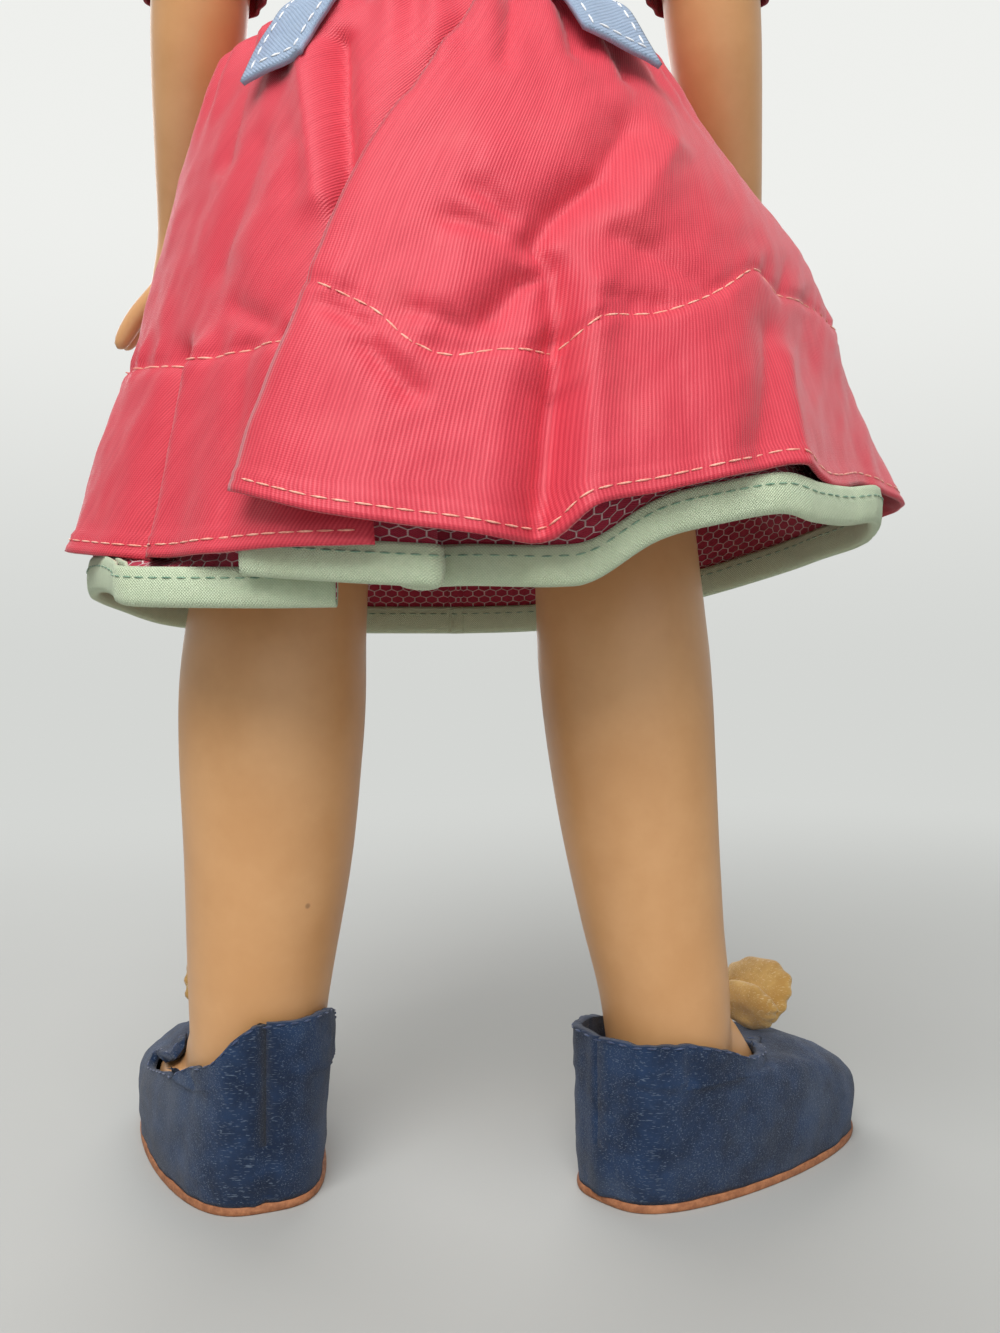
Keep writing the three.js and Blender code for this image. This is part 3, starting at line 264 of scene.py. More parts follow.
def trim(piece, point, normal):
    """Cuts away what lies beyond a plane, on the side its normal points to."""
    in_edit(piece, lambda: bpy.ops.mesh.bisect(plane_co=point, plane_no=normal, clear_outer=True))


def copy_of(name, *nodes):
    """Merged copies of CAD solids, joined into one new piece."""
    copies = []
    for node_name in nodes:
        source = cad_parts[node_name]
        piece = bpy.data.objects.new(name, source.data.copy())
        piece.data.transform(source.matrix_world)
        bpy.context.scene.collection.objects.link(piece)
        piece.data.materials.clear()
        in_edit(piece, merge_doubles)
        copies.append(piece)
    return join(name, copies)


def keep_outer_shell(piece):
    """Deletes every loose part but the largest one."""
    name = piece.name
    in_edit(piece, lambda: bpy.ops.mesh.separate(type="LOOSE"))
    parts = sorted(bpy.context.selected_objects, key=lambda part: max(part.dimensions))
    for part in parts[:-1]:
        bpy.data.objects.remove(part)
    return named(parts[-1], name)


def melt(piece, voxel, rounds, shell=False):
    """Turns overlapping forms into one smooth moulding, or into its outer shell alone."""
    modify(piece, "REMESH", mode="VOXEL", voxel_size=voxel * MM, use_smooth_shade=True)
    if shell:
        piece = keep_outer_shell(piece)
    modify(piece, "SMOOTH", factor=0.5, iterations=rounds)
    soften(piece)
    return piece


def capsule(name, length, thick):
    """One stitch or lash, lying along X."""
    piece = begin(name, bpy.ops.mesh.primitive_uv_sphere_add, segments=6, ring_count=6, radius=0.5)
    for v in piece.data.vertices:
        x, y, z = v.co
        belly = 1 - (2 * z) ** 4 * 0.35
        v.co = Vector((z * length, x * thick * belly, y * thick * belly)) * MM
    soften(piece)
    return piece


def scatter(name, model, places):
    """Copies of one small model, each turned by its own frame, as one piece."""
    verts = [v.co.copy() for v in model.data.vertices]
    faces = [tuple(p.vertices) for p in model.data.polygons]
    points, polygons = [], []
    for place in places:
        base = len(points)
        points.extend(place @ v for v in verts)
        polygons.extend(tuple(base + k for k in face) for face in faces)
    mesh = bpy.data.meshes.new(name)
    mesh.from_pydata(points, [], polygons)
    piece = bpy.data.objects.new(name, mesh)
    bpy.context.scene.collection.objects.link(piece)
    in_edit(piece, face_out)
    soften(piece)
    bpy.data.objects.remove(model)
    return piece


def frame_along(point, along, outward):
    """A frame whose X runs along a line and whose Z points out of the surface."""
    x = along.normalized()
    z = (outward - x * outward.dot(x)).normalized()
    turn = Matrix((x, z.cross(x), z)).transposed().to_4x4()
    return Matrix.Translation(point) @ turn


def stitch_line(name, line, pitch, length, thick):
    """A row of stitches along points that each carry an outward direction."""
    places = []
    travelled = 0.0
    for (a, out_a), (b, _) in zip(line, line[1:]):
        travelled += (b - a).length
        if travelled >= pitch * MM:
            travelled = 0.0
            places.append(frame_along((a + b) / 2, b - a, out_a))
    return scatter(name, capsule(name + "_model", length, thick), places)


# Materials; colours are given in screen values


def srgb(red, green, blue):
    parts = [v / 255 for v in (red, green, blue)]
    return (*(v / 12.92 if v <= 0.04045 else ((v + 0.055) / 1.055) ** 2.4 for v in parts), 1.0)


def node(tree, kind, inputs=None, **settings):
    made = tree.nodes.new("ShaderNode" + kind)
    for name, value in settings.items():
        setattr(made, name, value)
    for key, value in (inputs or {}).items():
        if isinstance(value, bpy.types.NodeSocket):
            tree.links.new(value, made.inputs[key])
        else:
            made.inputs[key].default_value = value
    return made


def reckon(tree, operation, *values):
    return node(tree, "Math", dict(enumerate(values)), operation=operation).outputs[0]


def times(tree, a, b):
    return reckon(tree, "MULTIPLY", a, b)


def less(tree, a, b):
    return reckon(tree, "SUBTRACT", a, b)


def greater_of(tree, a, b):
    return reckon(tree, "MAXIMUM", a, b)


def span(tree, x, y):
    return reckon(tree, "SQRT", reckon(tree, "ADD", times(tree, x, x), times(tree, y, y)))


def split(tree, vector):
    return node(tree, "SeparateXYZ", {0: vector}).outputs


def on_vectors(tree, operation, first, *others, result=0, **named_inputs):
    inputs = {**dict(enumerate((first, *others))), **named_inputs}
    return node(tree, "VectorMath", inputs, operation=operation).outputs[result]


def between(tree, value, low, high, to_low=0.0, to_high=1.0):
    inputs = {"Value": value, "From Min": low, "From Max": high,
              "To Min": to_low, "To Max": to_high}
    return node(tree, "MapRange", inputs, interpolation_type="SMOOTHSTEP").outputs[0]


def tint(tree, factor, *pair):
    """Mixes two colours, each a socket or screen values."""
    first, second = (c if isinstance(c, bpy.types.NodeSocket) else srgb(*c) for c in pair)
    return node(tree, "Mix", {0: factor, 6: first, 7: second}, data_type="RGBA").outputs[2]


def cloud(tree, vector, scale, detail=3.0, rough=0.55):
    inputs = {"Vector": vector, "Scale": scale, "Detail": detail, "Roughness": rough}
    return node(tree, "TexNoise", inputs).outputs["Fac"]


def wave(tree, value, pitch):
    turns = times(tree, reckon(tree, "DIVIDE", value, pitch), math.tau)
    return reckon(tree, "MULTIPLY_ADD", reckon(tree, "SINE", turns), 0.5, 0.5)


def new_group(name, values, results):
    """A shader group with a Vector input, some values and some results."""
    tree = bpy.data.node_groups.new(name, "ShaderNodeTree")
    tree.interface.new_socket(name="Vector", in_out="INPUT", socket_type="NodeSocketVector")
    for label, first in values.items():
        socket = tree.interface.new_socket(
            name=label, in_out="INPUT", socket_type="NodeSocketFloat")
        socket.default_value = first
    for label in results:
        tree.interface.new_socket(name=label, in_out="OUTPUT", socket_type="NodeSocketFloat")
    ends = tree.nodes.new("NodeGroupInput"), tree.nodes.new("NodeGroupOutput")
    return tree, ends[0].outputs, ends[1].inputs


def group_ribs():
    """Fine ribs of taffeta along V, with uneven threads."""
    tree, given, result = new_group(
        "taffeta_ribs", {"Rib": 0.5, "Thread": 0.33, "Slant": 0.0}, ["Height", "Shade"])
    parts = split(tree, given["Vector"])
    across = reckon(tree, "MULTIPLY_ADD", parts[1], given["Slant"], parts[0])
    rib = wave(tree, across, given["Rib"])
    thread = wave(tree, parts[1], given["Thread"])
    streak_at = node(tree, "CombineXYZ", {
        0: times(tree, across, 1.6), 1: times(tree, parts[1], 0.09)}).outputs[0]
    streak = cloud(tree, streak_at, 1.0, 2.0)
    height = reckon(tree, "MULTIPLY_ADD", thread, 0.3, times(tree, rib, 0.7))
    shade = reckon(tree, "MULTIPLY_ADD", rib, 0.45, times(tree, streak, 0.55))
    tree.links.new(height, result["Height"])
    tree.links.new(shade, result["Shade"])
    return tree


def group_weave():
    """Plain weave of threads over and under."""
    tree, given, result = new_group("plain_weave", {"Pitch": 0.5}, ["Height", "Shade"])
    parts = split(tree, given["Vector"])
    warp, weft = (wave(tree, parts[k], given["Pitch"]) for k in (0, 1))
    over = greater_of(tree, times(tree, warp, less(tree, 1.0, weft)),
                      times(tree, weft, less(tree, 1.0, warp)))
    slub = cloud(tree, given["Vector"], 0.9, 4.0, 0.7)
    shade = reckon(tree, "MULTIPLY_ADD", over, 0.5, times(tree, slub, 0.6))
    tree.links.new(over, result["Height"])
    tree.links.new(shade, result["Shade"])
    return tree


def group_net():
    """White threads of a net with six-sided cells."""
    tree, given, result = new_group("six_sided_net", {"Cell": 2.4, "Line": 0.1}, ["Mask"])
    flat, cell = (1.0, 1.0, 0.0), (1.0, math.sqrt(3), 1.0)
    half = tuple(v / 2 for v in cell)

    def from_middle(point):
        """A point as seen from the middle of its cell."""
        wrapped = on_vectors(tree, "WRAP", point, cell, (0.0, 0.0, 0.0))
        return on_vectors(tree, "MULTIPLY", on_vectors(tree, "SUBTRACT", wrapped, half), flat)

    def reach(point):
        return on_vectors(tree, "LENGTH", point, result="Value")

    share = on_vectors(tree, "SCALE", given["Vector"],
                       Scale=reckon(tree, "DIVIDE", 1.0, given["Cell"]))
    share = on_vectors(tree, "MULTIPLY", share, flat)
    first, second = from_middle(share), from_middle(on_vectors(tree, "SUBTRACT", share, half))
    nearer = reckon(tree, "LESS_THAN", reach(first), reach(second))
    chosen = node(tree, "Mix", {0: nearer, 4: second, 5: first}, data_type="VECTOR").outputs[1]
    parts = split(tree, on_vectors(tree, "ABSOLUTE", chosen))
    slanted = reckon(tree, "MULTIPLY_ADD", parts[0], 0.5,
                     times(tree, parts[1], math.sqrt(3) / 2))
    edge = greater_of(tree, slanted, parts[0])
    mask = between(tree, edge, less(tree, 0.5, given["Line"]), 0.49)
    tree.links.new(mask, result["Mask"])
    return tree


def group_nap():
    """Matted fibres of felt, lying all ways."""
    tree, given, result = new_group("felt_nap", {"Size": 1.0}, ["Fibres", "Height", "Cloud"])
    sized = on_vectors(tree, "SCALE", given["Vector"], Scale=given["Size"])
    fibres = []
    for turn, offset in ((0.3, 0.0), (1.4, 7.0), (2.5, 13.0)):
        turned = node(tree, "Mapping", {
            "Vector": sized, "Location": (offset, offset, 0.0),
            "Rotation": (turn, turn * 0.7, turn), "Scale": (700.0, 5200.0, 5200.0)}).outputs[0]
        fibres.append(between(tree, cloud(tree, turned, 1.0, 1.0), 0.66, 0.74))
    mask = greater_of(tree, greater_of(tree, fibres[0], fibres[1]), fibres[2])
    grain = cloud(tree, sized, 2600.0, 3.0, 0.7)
    tree.links.new(mask, result["Fibres"])
    tree.links.new(reckon(tree, "MULTIPLY_ADD", mask, 0.5, grain), result["Height"])
    tree.links.new(cloud(tree, sized, 130.0, 4.0, 0.6), result["Cloud"])
    return tree


def group_specks():
    """Small dark specks and a slow change of tone on moulded plastic."""
    tree, given, result = new_group(
        "plastic_specks", {"Amount": 0.06}, ["Specks", "Cloud", "Grain"])
    dots = node(tree, "TexVoronoi", {
        "Vector": given["Vector"], "Scale": 260.0, "Randomness": 1.0}).outputs
    small = between(tree, dots["Distance"], 0.05, 0.16, 1.0, 0.0)
    rare = reckon(tree, "LESS_THAN", split(tree, dots["Color"])[0], given["Amount"])
    tree.links.new(times(tree, small, rare), result["Specks"])
    tree.links.new(cloud(tree, given["Vector"], 38.0, 5.0, 0.6), result["Cloud"])
    tree.links.new(cloud(tree, given["Vector"], 900.0, 2.0), result["Grain"])
    return tree


RIBS, WEAVE, NET = group_ribs(), group_weave(), group_net()
NAP, SPECKS = group_nap(), group_specks()


def placed(tree, group, **inputs):
    return node(tree, "Group", inputs, node_tree=group).outputs


def finish_of(name, **sockets):
    """A material with its shader's fixed values set; returns its tree, shader and coordinates."""
    material = bpy.data.materials.new(name)
    material.use_nodes = True
    tree = material.node_tree
    shader = tree.nodes["Principled BSDF"]
    for label, value in sockets.items():
        shader.inputs[label.replace("_", " ")].default_value = value
    return material, tree, shader, node(tree, "TexCoord").outputs


def relief(tree, shader, height, strength, depth):
    inputs = {"Height": height, "Strength": strength, "Distance": depth * MM}
    tree.links.new(node(tree, "Bump", inputs).outputs[0], shader.inputs["Normal"])


def colour(tree, shader, value):
    tree.links.new(value, shader.inputs["Base Color"])


def roughness(tree, shader, value):
    tree.links.new(value, shader.inputs["Roughness"])


def skin_tone(tree, shader, where):
    """Tan plastic, a little uneven and flecked; returns its colour for paint to go over."""
    marks = placed(tree, SPECKS, Vector=where, Amount=0.03)
    uneven = between(tree, marks["Cloud"], 0.3, 0.72)
    tone = tint(tree, uneven, (205, 152, 100), (218, 167, 116))
    tone = tint(tree, times(tree, marks["Specks"], 0.5), tone, (96, 62, 40))
    roughness(tree, shader, between(tree, marks["Cloud"], 0.2, 0.8, 0.34, 0.5))
    relief(tree, shader, marks["Grain"], 0.06, 0.1)
    return tone


def skin_finish():
    material, tree, shader, coords = finish_of(
        "tan_plastic", Coat_Weight=0.12, Coat_Roughness=0.3)
    colour(tree, shader, skin_tone(tree, shader, coords["Object"]))
    return material


def taffeta_finish(name, slant):
    material, tree, shader, coords = finish_of(
        name, Sheen_Weight=0.25, Sheen_Roughness=0.35, Specular_IOR_Level=0.4)
    ribs = placed(tree, RIBS, Vector=coords["UV"], Rib=0.52, Thread=0.3, Slant=slant)
    tone = tint(tree, ribs["Shade"], (182, 33, 55), (226, 77, 91))
    worn = between(tree, cloud(tree, coords["Object"], 34.0, 5.0, 0.6), 0.58, 0.8, 0.0, 0.3)
    tone = tint(tree, worn, tone, (214, 98, 98))
    deep = between(tree, cloud(tree, coords["Object"], 16.0, 3.0), 0.42, 0.7, 0.0, 0.3)
    colour(tree, shader, tint(tree, deep, tone, (176, 31, 52)))
    roughness(tree, shader, between(tree, ribs["Shade"], 0.0, 1.0, 0.62, 0.46))
    relief(tree, shader, ribs["Height"], 0.5, 0.12)
    return material


def woven_finish(name, dark, light, pitch, stain=None):
    material, tree, shader, coords = finish_of(
        name, Roughness=0.85, Sheen_Weight=0.2, Sheen_Roughness=0.5, Specular_IOR_Level=0.3)
    weave = placed(tree, WEAVE, Vector=coords["UV"], Pitch=pitch)
    tone = tint(tree, weave["Shade"], dark, light)
    if stain:
        patch = between(tree, cloud(tree, coords["Object"], 60.0, 4.0), 0.5, 0.75, 0.0, 0.5)
        tone = tint(tree, patch, tone, stain)
    colour(tree, shader, tone)
    relief(tree, shader, weave["Height"], 0.7, 0.2)
    return material


def net_finish():
    """Red cloth darkened with painted shade of the skirt's inside, with the net over it."""
    material, tree, shader, coords = finish_of(
        "petticoat_net_over_shaded_red_cloth", Roughness=0.8, Sheen_Weight=0.15)
    weave = placed(tree, WEAVE, Vector=coords["UV"], Pitch=0.45)
    net = placed(tree, NET, Vector=coords["UV"], Cell=2.35, Line=0.085)
    # Dark red under the net: a red layer, darkened with painted shade.
    tone = tint(tree, weave["Shade"], (132, 16, 42), (196, 44, 76))
    colour(tree, shader, tint(tree, net["Mask"], tone, (240, 214, 212)))
    raised = reckon(tree, "MULTIPLY_ADD", net["Mask"], 3.0, weave["Height"])
    relief(tree, shader, raised, 0.8, 0.12)
    return material


def thread_finish(name, dark, light):
    material, tree, shader, coords = finish_of(name, Roughness=0.7, Sheen_Weight=0.3)
    ply = cloud(tree, coords["Object"], 1500.0, 2.0)
    colour(tree, shader, tint(tree, between(tree, ply, 0.3, 0.7), dark, light))
    relief(tree, shader, ply, 0.4, 0.1)
    return material


def felt_finish():
    material, tree, shader, coords = finish_of(
        "blue_felt", Roughness=0.95, Sheen_Weight=0.15, Sheen_Roughness=0.6,
        Specular_IOR_Level=0.15)
    nap = placed(tree, NAP, Vector=coords["Object"], Size=1.0)
    tone = tint(tree, between(tree, nap["Cloud"], 0.32, 0.7), (14, 32, 58), (32, 56, 90))
    worn = between(tree, cloud(tree, coords["Object"], 45.0, 5.0, 0.65), 0.52, 0.78, 0.0, 0.5)
    tone = tint(tree, worn, tone, (74, 86, 104))
    colour(tree, shader, tint(tree, times(tree, nap["Fibres"], 0.5), tone, (124, 140, 160)))
    relief(tree, shader, nap["Height"], 0.6, 0.35)
    return material


def leather_finish():
    material, tree, shader, coords = finish_of("tan_sole", Roughness=0.75)
    grain = cloud(tree, coords["Object"], 700.0, 5.0, 0.7)
    tone = tint(tree, between(tree, grain, 0.3, 0.7), (140, 86, 54), (184, 122, 82))
    scuffed = between(tree, cloud(tree, coords["Object"], 70.0), 0.5, 0.72, 0.0, 0.6)
    colour(tree, shader, tint(tree, scuffed, tone, (112, 70, 50)))
    relief(tree, shader, grain, 0.5, 0.3)
    return material


def pompom_finish():
    material, tree, shader, coords = finish_of("cream_ruffle", Roughness=0.95, Sheen_Weight=0.4)
    nap = placed(tree, NAP, Vector=coords["Object"], Size=0.8)
    tone = tint(tree, between(tree, nap["Cloud"], 0.3, 0.7), (180, 138, 70), (224, 188, 118))
    colour(tree, shader, tint(tree, times(tree, nap["Fibres"], 0.5), tone, (250, 236, 196)))
    relief(tree, shader, nap["Height"], 0.6, 0.3)
    return material


def metal_finish(name, dark, light, rough):
    material, tree, shader, coords = finish_of(name, Metallic=1.0)
    scuff = cloud(tree, coords["Object"], 500.0, 4.0, 0.65)
    colour(tree, shader, tint(tree, scuff, dark, light))
    roughness(tree, shader, between(tree, scuff, 0.3, 0.7, rough - 0.1, rough + 0.15))
    return material


def hair_finish():
    material, tree, shader, coords = finish_of(
        "brown_hair", Roughness=0.45, Sheen_Weight=0.08, Anisotropic=0.6, Specular_IOR_Level=0.45)
    strand_at = node(tree, "Mapping", {"Vector": coords["UV"], "Scale": (9.0, 0.12, 1.0)})
    strand = cloud(tree, strand_at.outputs[0], 1.0, 3.0)
    tone = tint(tree, between(tree, strand, 0.25, 0.75), (62, 32, 16), (150, 90, 46))
    colour(tree, shader, tone)
    relief(tree, shader, strand, 0.8, 0.35)
    return material


FINISH = {
    "skin": skin_finish(),
    "taffeta": taffeta_finish("red_taffeta", 0.0),
    "taffeta_bias": taffeta_finish("red_taffeta_on_the_bias", 0.55),
    "petticoat": net_finish(),
    "binding": woven_finish(
        "mint_bias_tape", (172, 192, 156), (218, 230, 200), 0.42, (190, 202, 164)),
    "vest": woven_finish(
        "light_blue_cotton", (124, 144, 172), (172, 190, 212), 0.5, (138, 150, 178)),
    "bodice": woven_finish("dark_red_cotton", (112, 14, 36), (160, 34, 58), 0.45),
    "peach_thread": thread_finish("peach_thread", (224, 140, 122), (250, 190, 168)),
    "white_thread": thread_finish("white_thread", (214, 216, 222), (250, 250, 250)),
    "green_thread": thread_finish("green_thread", (92, 132, 108), (140, 174, 146)),
    "blue_thread": thread_finish("blue_thread", (34, 48, 84), (66, 86, 124)),
    "felt": felt_finish(),
    "sole": leather_finish(),
    "pompom": pompom_finish(),
    "hair": hair_finish(),
    "elastic": thread_finish("covered_elastic", (196, 186, 164), (236, 228, 208)),
    "steel": metal_finish("drawn_steel", (140, 140, 138), (190, 190, 188), 0.35),
    "lead": metal_finish("cast_weight", (92, 94, 98), (132, 134, 138), 0.6),
}


def dress(piece, finish):
    piece.data.materials.clear()
    piece.data.materials.append(FINISH[finish])


def sew(cloth, thick, finish, offset=-1.0):
    """Gives a laid out cloth its thickness and its finish."""
    thicken(cloth, thick, offset)
    soften(cloth)
    dress(cloth, finish)


def fit(piece, finish, slot, body, *nodes):
    """Dresses a piece that rides on one body and stands for some CAD nodes."""
    dress(piece, finish)
    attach(piece, body)
    if nodes:
        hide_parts(*nodes)


# Camera, floor and light

IMAGE_TALL, FOCAL = 1333, 1200  # in pixels of the photograph
FILM_TALL = 24
PALE, LOW_SKY, SKY_GLOW = (243, 244, 241), (216, 218, 215), 0.96
LAMPS = (  # name, place, aim, size in metres and power in watts
    ("key_light", (90, 430, 540), (0, 10, 130), 0.45, 4.0),
    ("fill_light", (-260, 640, 260), (0, 0, 90), 0.9, 1.2),
    ("front_light", (160, -640, 480), (0, 0, 170), 0.9, 4.2))


def place_camera(scene):
    camera = bpy.data.objects.new("camera", bpy.data.cameras.new("camera"))
    camera.data.sensor_fit = "VERTICAL"
    camera.data.sensor_height = FILM_TALL
    camera.data.lens = FILM_TALL * FOCAL / IMAGE_TALL
    camera.data.clip_start = 0.01
    camera.location = at(-7.5, 200, 85)
    camera.rotation_euler = (math.pi / 2, 0, math.pi)
    scene.collection.objects.link(camera)
    scene.camera = camera


def lay_floor():
    floor = begin("floor", bpy.ops.mesh.primitive_grid_add,
                  x_subdivisions=8, y_subdivisions=8, size=12, location=(0, 0, -0.0001))
    material, tree, shader, coords = finish_of(
        "pale_board", Roughness=0.75, Specular_IOR_Level=0.2)
    board = cloud(tree, coords["Object"], 3.0, 4.0)
    colour(tree, shader, tint(tree, board, (178, 179, 177), (188, 189, 186)))
    far = between(tree, on_vectors(tree, "LENGTH", coords["Object"], result="Value"), 0.04, 0.6)
    far = times(tree, far, node(tree, "LightPath").outputs["Is Camera Ray"])
    glow = node(tree, "Emission", {"Color": srgb(*LOW_SKY), "Strength": SKY_GLOW})
    blend = node(tree, "MixShader", {0: far, 1: shader.outputs[0], 2: glow.outputs[0]})
    tree.links.new(blend.outputs[0], tree.nodes["Material Output"].inputs["Surface"])
    floor.data.materials.append(material)


def hang_lamps(scene):
    for name, place, aim, size, power in LAMPS:
        lamp = bpy.data.objects.new(name, bpy.data.lights.new(name, "AREA"))
        lamp.data.shape = "DISK"
        lamp.data.size = size
        lamp.data.energy = power
        lamp.location = at(*place)
        lamp.rotation_euler = (at(*aim) - at(*place)).to_track_quat("-Z", "Y").to_euler()
        scene.collection.objects.link(lamp)


def paint_sky(scene):
    """A pale room, brighter where it is seen than in the light that it gives."""
    scene.world = bpy.data.worlds.new("pale_room")
    scene.world.use_nodes = True
    tree = scene.world.node_tree
    tree.nodes.clear()
    ray = node(tree, "LightPath").outputs
    seen = greater_of(tree, ray["Is Camera Ray"], greater_of(
        tree, ray["Is Glossy Ray"], ray["Is Transmission Ray"]))
    way = split(tree, node(tree, "TexCoord").outputs["Generated"])
    pale = node(tree, "Background", {
        "Color": tint(tree, between(tree, way[2], -0.02, 0.36), LOW_SKY, PALE),
        "Strength": between(tree, seen, 0.0, 1.0, 0.3, SKY_GLOW)})
    tree.links.new(pale.outputs[0], node(tree, "OutputWorld").inputs[0])


bpy.context.scene.view_settings.view_transform = "Standard"
place_camera(bpy.context.scene)
lay_floor()
hang_lamps(bpy.context.scene)
paint_sky(bpy.context.scene)


# Skirt, petticoat and binding

TORSO_HALF = curve_through((152, 10), (176, 31), (196, 22.5), (226, 26), (250, 32), (262, 17))
TORSO_FRONT = curve_through(
    (152, 10), (176, 21), (196, 17.5), (226, 21), (250, 15.5), (262, 14.5))
TORSO_BACK = curve_through(
    (152, 10), (176, 21), (196, 17.5), (226, 18.5), (250, 15.5), (262, 14.5))


def oval(a, half, front, back):
    depth = front if math.sin(a) < 0 else back
    return 1 / math.hypot(math.cos(a) / half, math.sin(a) / depth)


def on_torso(degrees, z, grow):
    a = math.radians(degrees)
    radius = oval(a, TORSO_HALF(z), TORSO_FRONT(z), TORSO_BACK(z)) + grow
    return radius * math.cos(a), radius * math.sin(a)


def torso_side(y, z):
    """How far the torso's surface lies from its middle, at one depth."""
    depth = TORSO_FRONT(z) if y < 0 else TORSO_BACK(z)
    return TORSO_HALF(z) * math.sqrt(max(1 - (y / depth) ** 2, 0.02))


SKIRT_TOP, SKIRT_FALL = 190, 95
SKIRT_CUT = 92  # waist to hem, with turnings
SKIRT_STITCH = 2.5, 2.35, 0.3  # pitch, length and thickness
SKIRT_ENDS = {"right": (64, 275), "left": (80, -95)}  # degrees round the doll, back to front
SKIRT_EDGE = curve_through(
    (107.6, 26.1), (116.8, 23.2), (130.4, 17.9), (146.6, 12.4), (163, 3.5), (175, -3), (190, -8))
HEM_RIGHT = curve_through(
    (60, 107.6), (64.8, 107), (75, 103.7), (86.4, 101.8), (96, 100.8), (100.9, 104.8),
    (109.2, 107.2), (119.7, 110.3), (127.4, 112), (135, 110), (151, 112), (170, 111), (200, 109),
    (235, 105.5), (275, 103.5))
HEM_LEFT = curve_through(
    (-100, 103.5), (-50, 104), (-10, 104.5), (14, 103), (46, 100), (64.8, 100), (120, 100.5))
TUCK = {  # from the hem up to the tuck line
    "right": curve_through(
        (66, 27), (74, 25.8), (79.4, 22.8), (84, 22), (90, 24), (98, 25), (109, 24.2), (116, 25),
        (130, 28.5), (160, 27), (275, 25.5)),
    "left": curve_through((-100, 26), (20, 27.5), (80, 27.5)),
}
NARROW = {"left": 8, "right": 4.5, "right_hip": 5.5}  # how much less each side flares
FOLDS = {  # each from (x, z) to (x, z), with its width and how far it stands out
    "right": (
        (-25, 158, -20.7, 149.7, 3.4, -2.6), (-20.7, 149.7, -14, 143.5, 2.8, -3),
        (-14, 143.5, -11.6, 139.4, 2.4, -3), (-11.6, 139.4, -14.3, 136.1, 1.8, -2.8),
        (-14.3, 136.1, -10, 134.1, 1.6, -2.6), (-10, 134.1, -5.9, 129.3, 2.2, -2.4),
        (-14.3, 136.1, -14.8, 127.4, 2.2, -2.8), (-14.8, 127.4, -14.6, 119, 2.2, -3.6),
        (-14.6, 119, -12.5, 101, 3, -4.2), (-22.7, 141.4, -27, 139.8, 1.6, -1.0),
        (-27, 139.8, -35.2, 135.3, 1.8, -0.9), (-20.4, 132.5, -28.7, 132.8, 1.5, -0.9),
        (-4.7, 146.3, -9.2, 142.6, 1.8, -1.5), (-1, 142.4, -7.5, 140.4, 1.6, -1.4),
        (8.3, 125, 3.1, 119, 1.8, -1.8), (14, 131, 8.5, 127.5, 1.5, -1.6),
        (4, 130, -4, 127.5, 1.5, -1.2), (5, 162, -4, 181, 1.6, -1.8),
        (-8, 166, -10, 186, 1.4, -1.6), (-18, 170, -16, 187, 1.6, -1.5),
        (-26, 168, -22, 186, 1.5, -1.2), (-45, 131, -41, 112, 3.5, -1.6),
        (-30, 124, -34, 104, 3.4, -1), (-31, 157, -25, 145, 3.6, 1.7),
        (-20, 134, -18.5, 103, 3.4, 2.2), (-9, 126, -6, 103, 4, 1), (-48, 128, -47, 108, 3, 1.4),
        (0, 168, -1, 187, 1.4, 0.9), (-6, 152, -2, 132, 6, 1.1)),
    "left": (
        (15, 172, 12.5, 146, 1.8, -3), (42, 129.5, 48, 101, 2.6, -3), (27, 158, 34, 141, 3, -1),
        (30, 134, 20, 128, 1.8, -1.1), (30, 172, 34, 158, 2, -1.2), (24, 170, 25, 186, 1.5, -1.4),
        (31, 168, 30, 185, 1.5, -1.2), (27, 127, 29, 102, 2.4, -1.1),
        (20, 170, 16.5, 147, 2.8, 2), (38, 129, 43, 101, 3, 1.4), (21, 155, 30, 143, 4, 1)),
}


def skirt_section(z):
    """How far down the skirt this is, with its half width, half depth and sideways lean."""
    fall = max((SKIRT_TOP - z) / SKIRT_FALL, 0)
    half = mix(31, 75, fall ** 0.72)
    return fall, half, half * mix(0.86, 0.7, min(fall, 1)), -5 * fall


def on_skirt(degrees, z, out):
    """A point of the skirt's flared form, moved outwards."""
    _, half, depth, lean = skirt_section(z)
    c, s = math.cos(math.radians(degrees)), math.sin(math.radians(degrees))
    away = Vector((c / half, s / depth)).normalized()
    return lean + half * c + away.x * out, depth * s + away.y * out


def into_waist(x, y, z, grow):
    """Draws the top of a gathered cloth in under the waistband."""
    share = ease(z, 178, 190)
    tx, ty = on_torso(math.degrees(math.atan2(y, x)), 190.6, grow)
    return mix(x, tx, share), mix(y, ty, share)


def skirt_angle(x, z):
    _, half, _, lean = skirt_section(z)
    return math.degrees(math.acos(clamp((x - lean) / half, -1, 1)))


def fold(x, z, x0, z0, x1, z1, width, depth):
    along = ((x - x0) * (x1 - x0) + (z - z0) * (z1 - z0)) / ((x1 - x0) ** 2 + (z1 - z0) ** 2)
    t = clamp(along)
    away = math.hypot(x - mix(x0, x1, t), z - mix(z0, z1, t)) / width
    return depth * (0.5 * math.exp(-away * away) + 0.5 * math.exp(-1.7 * away))


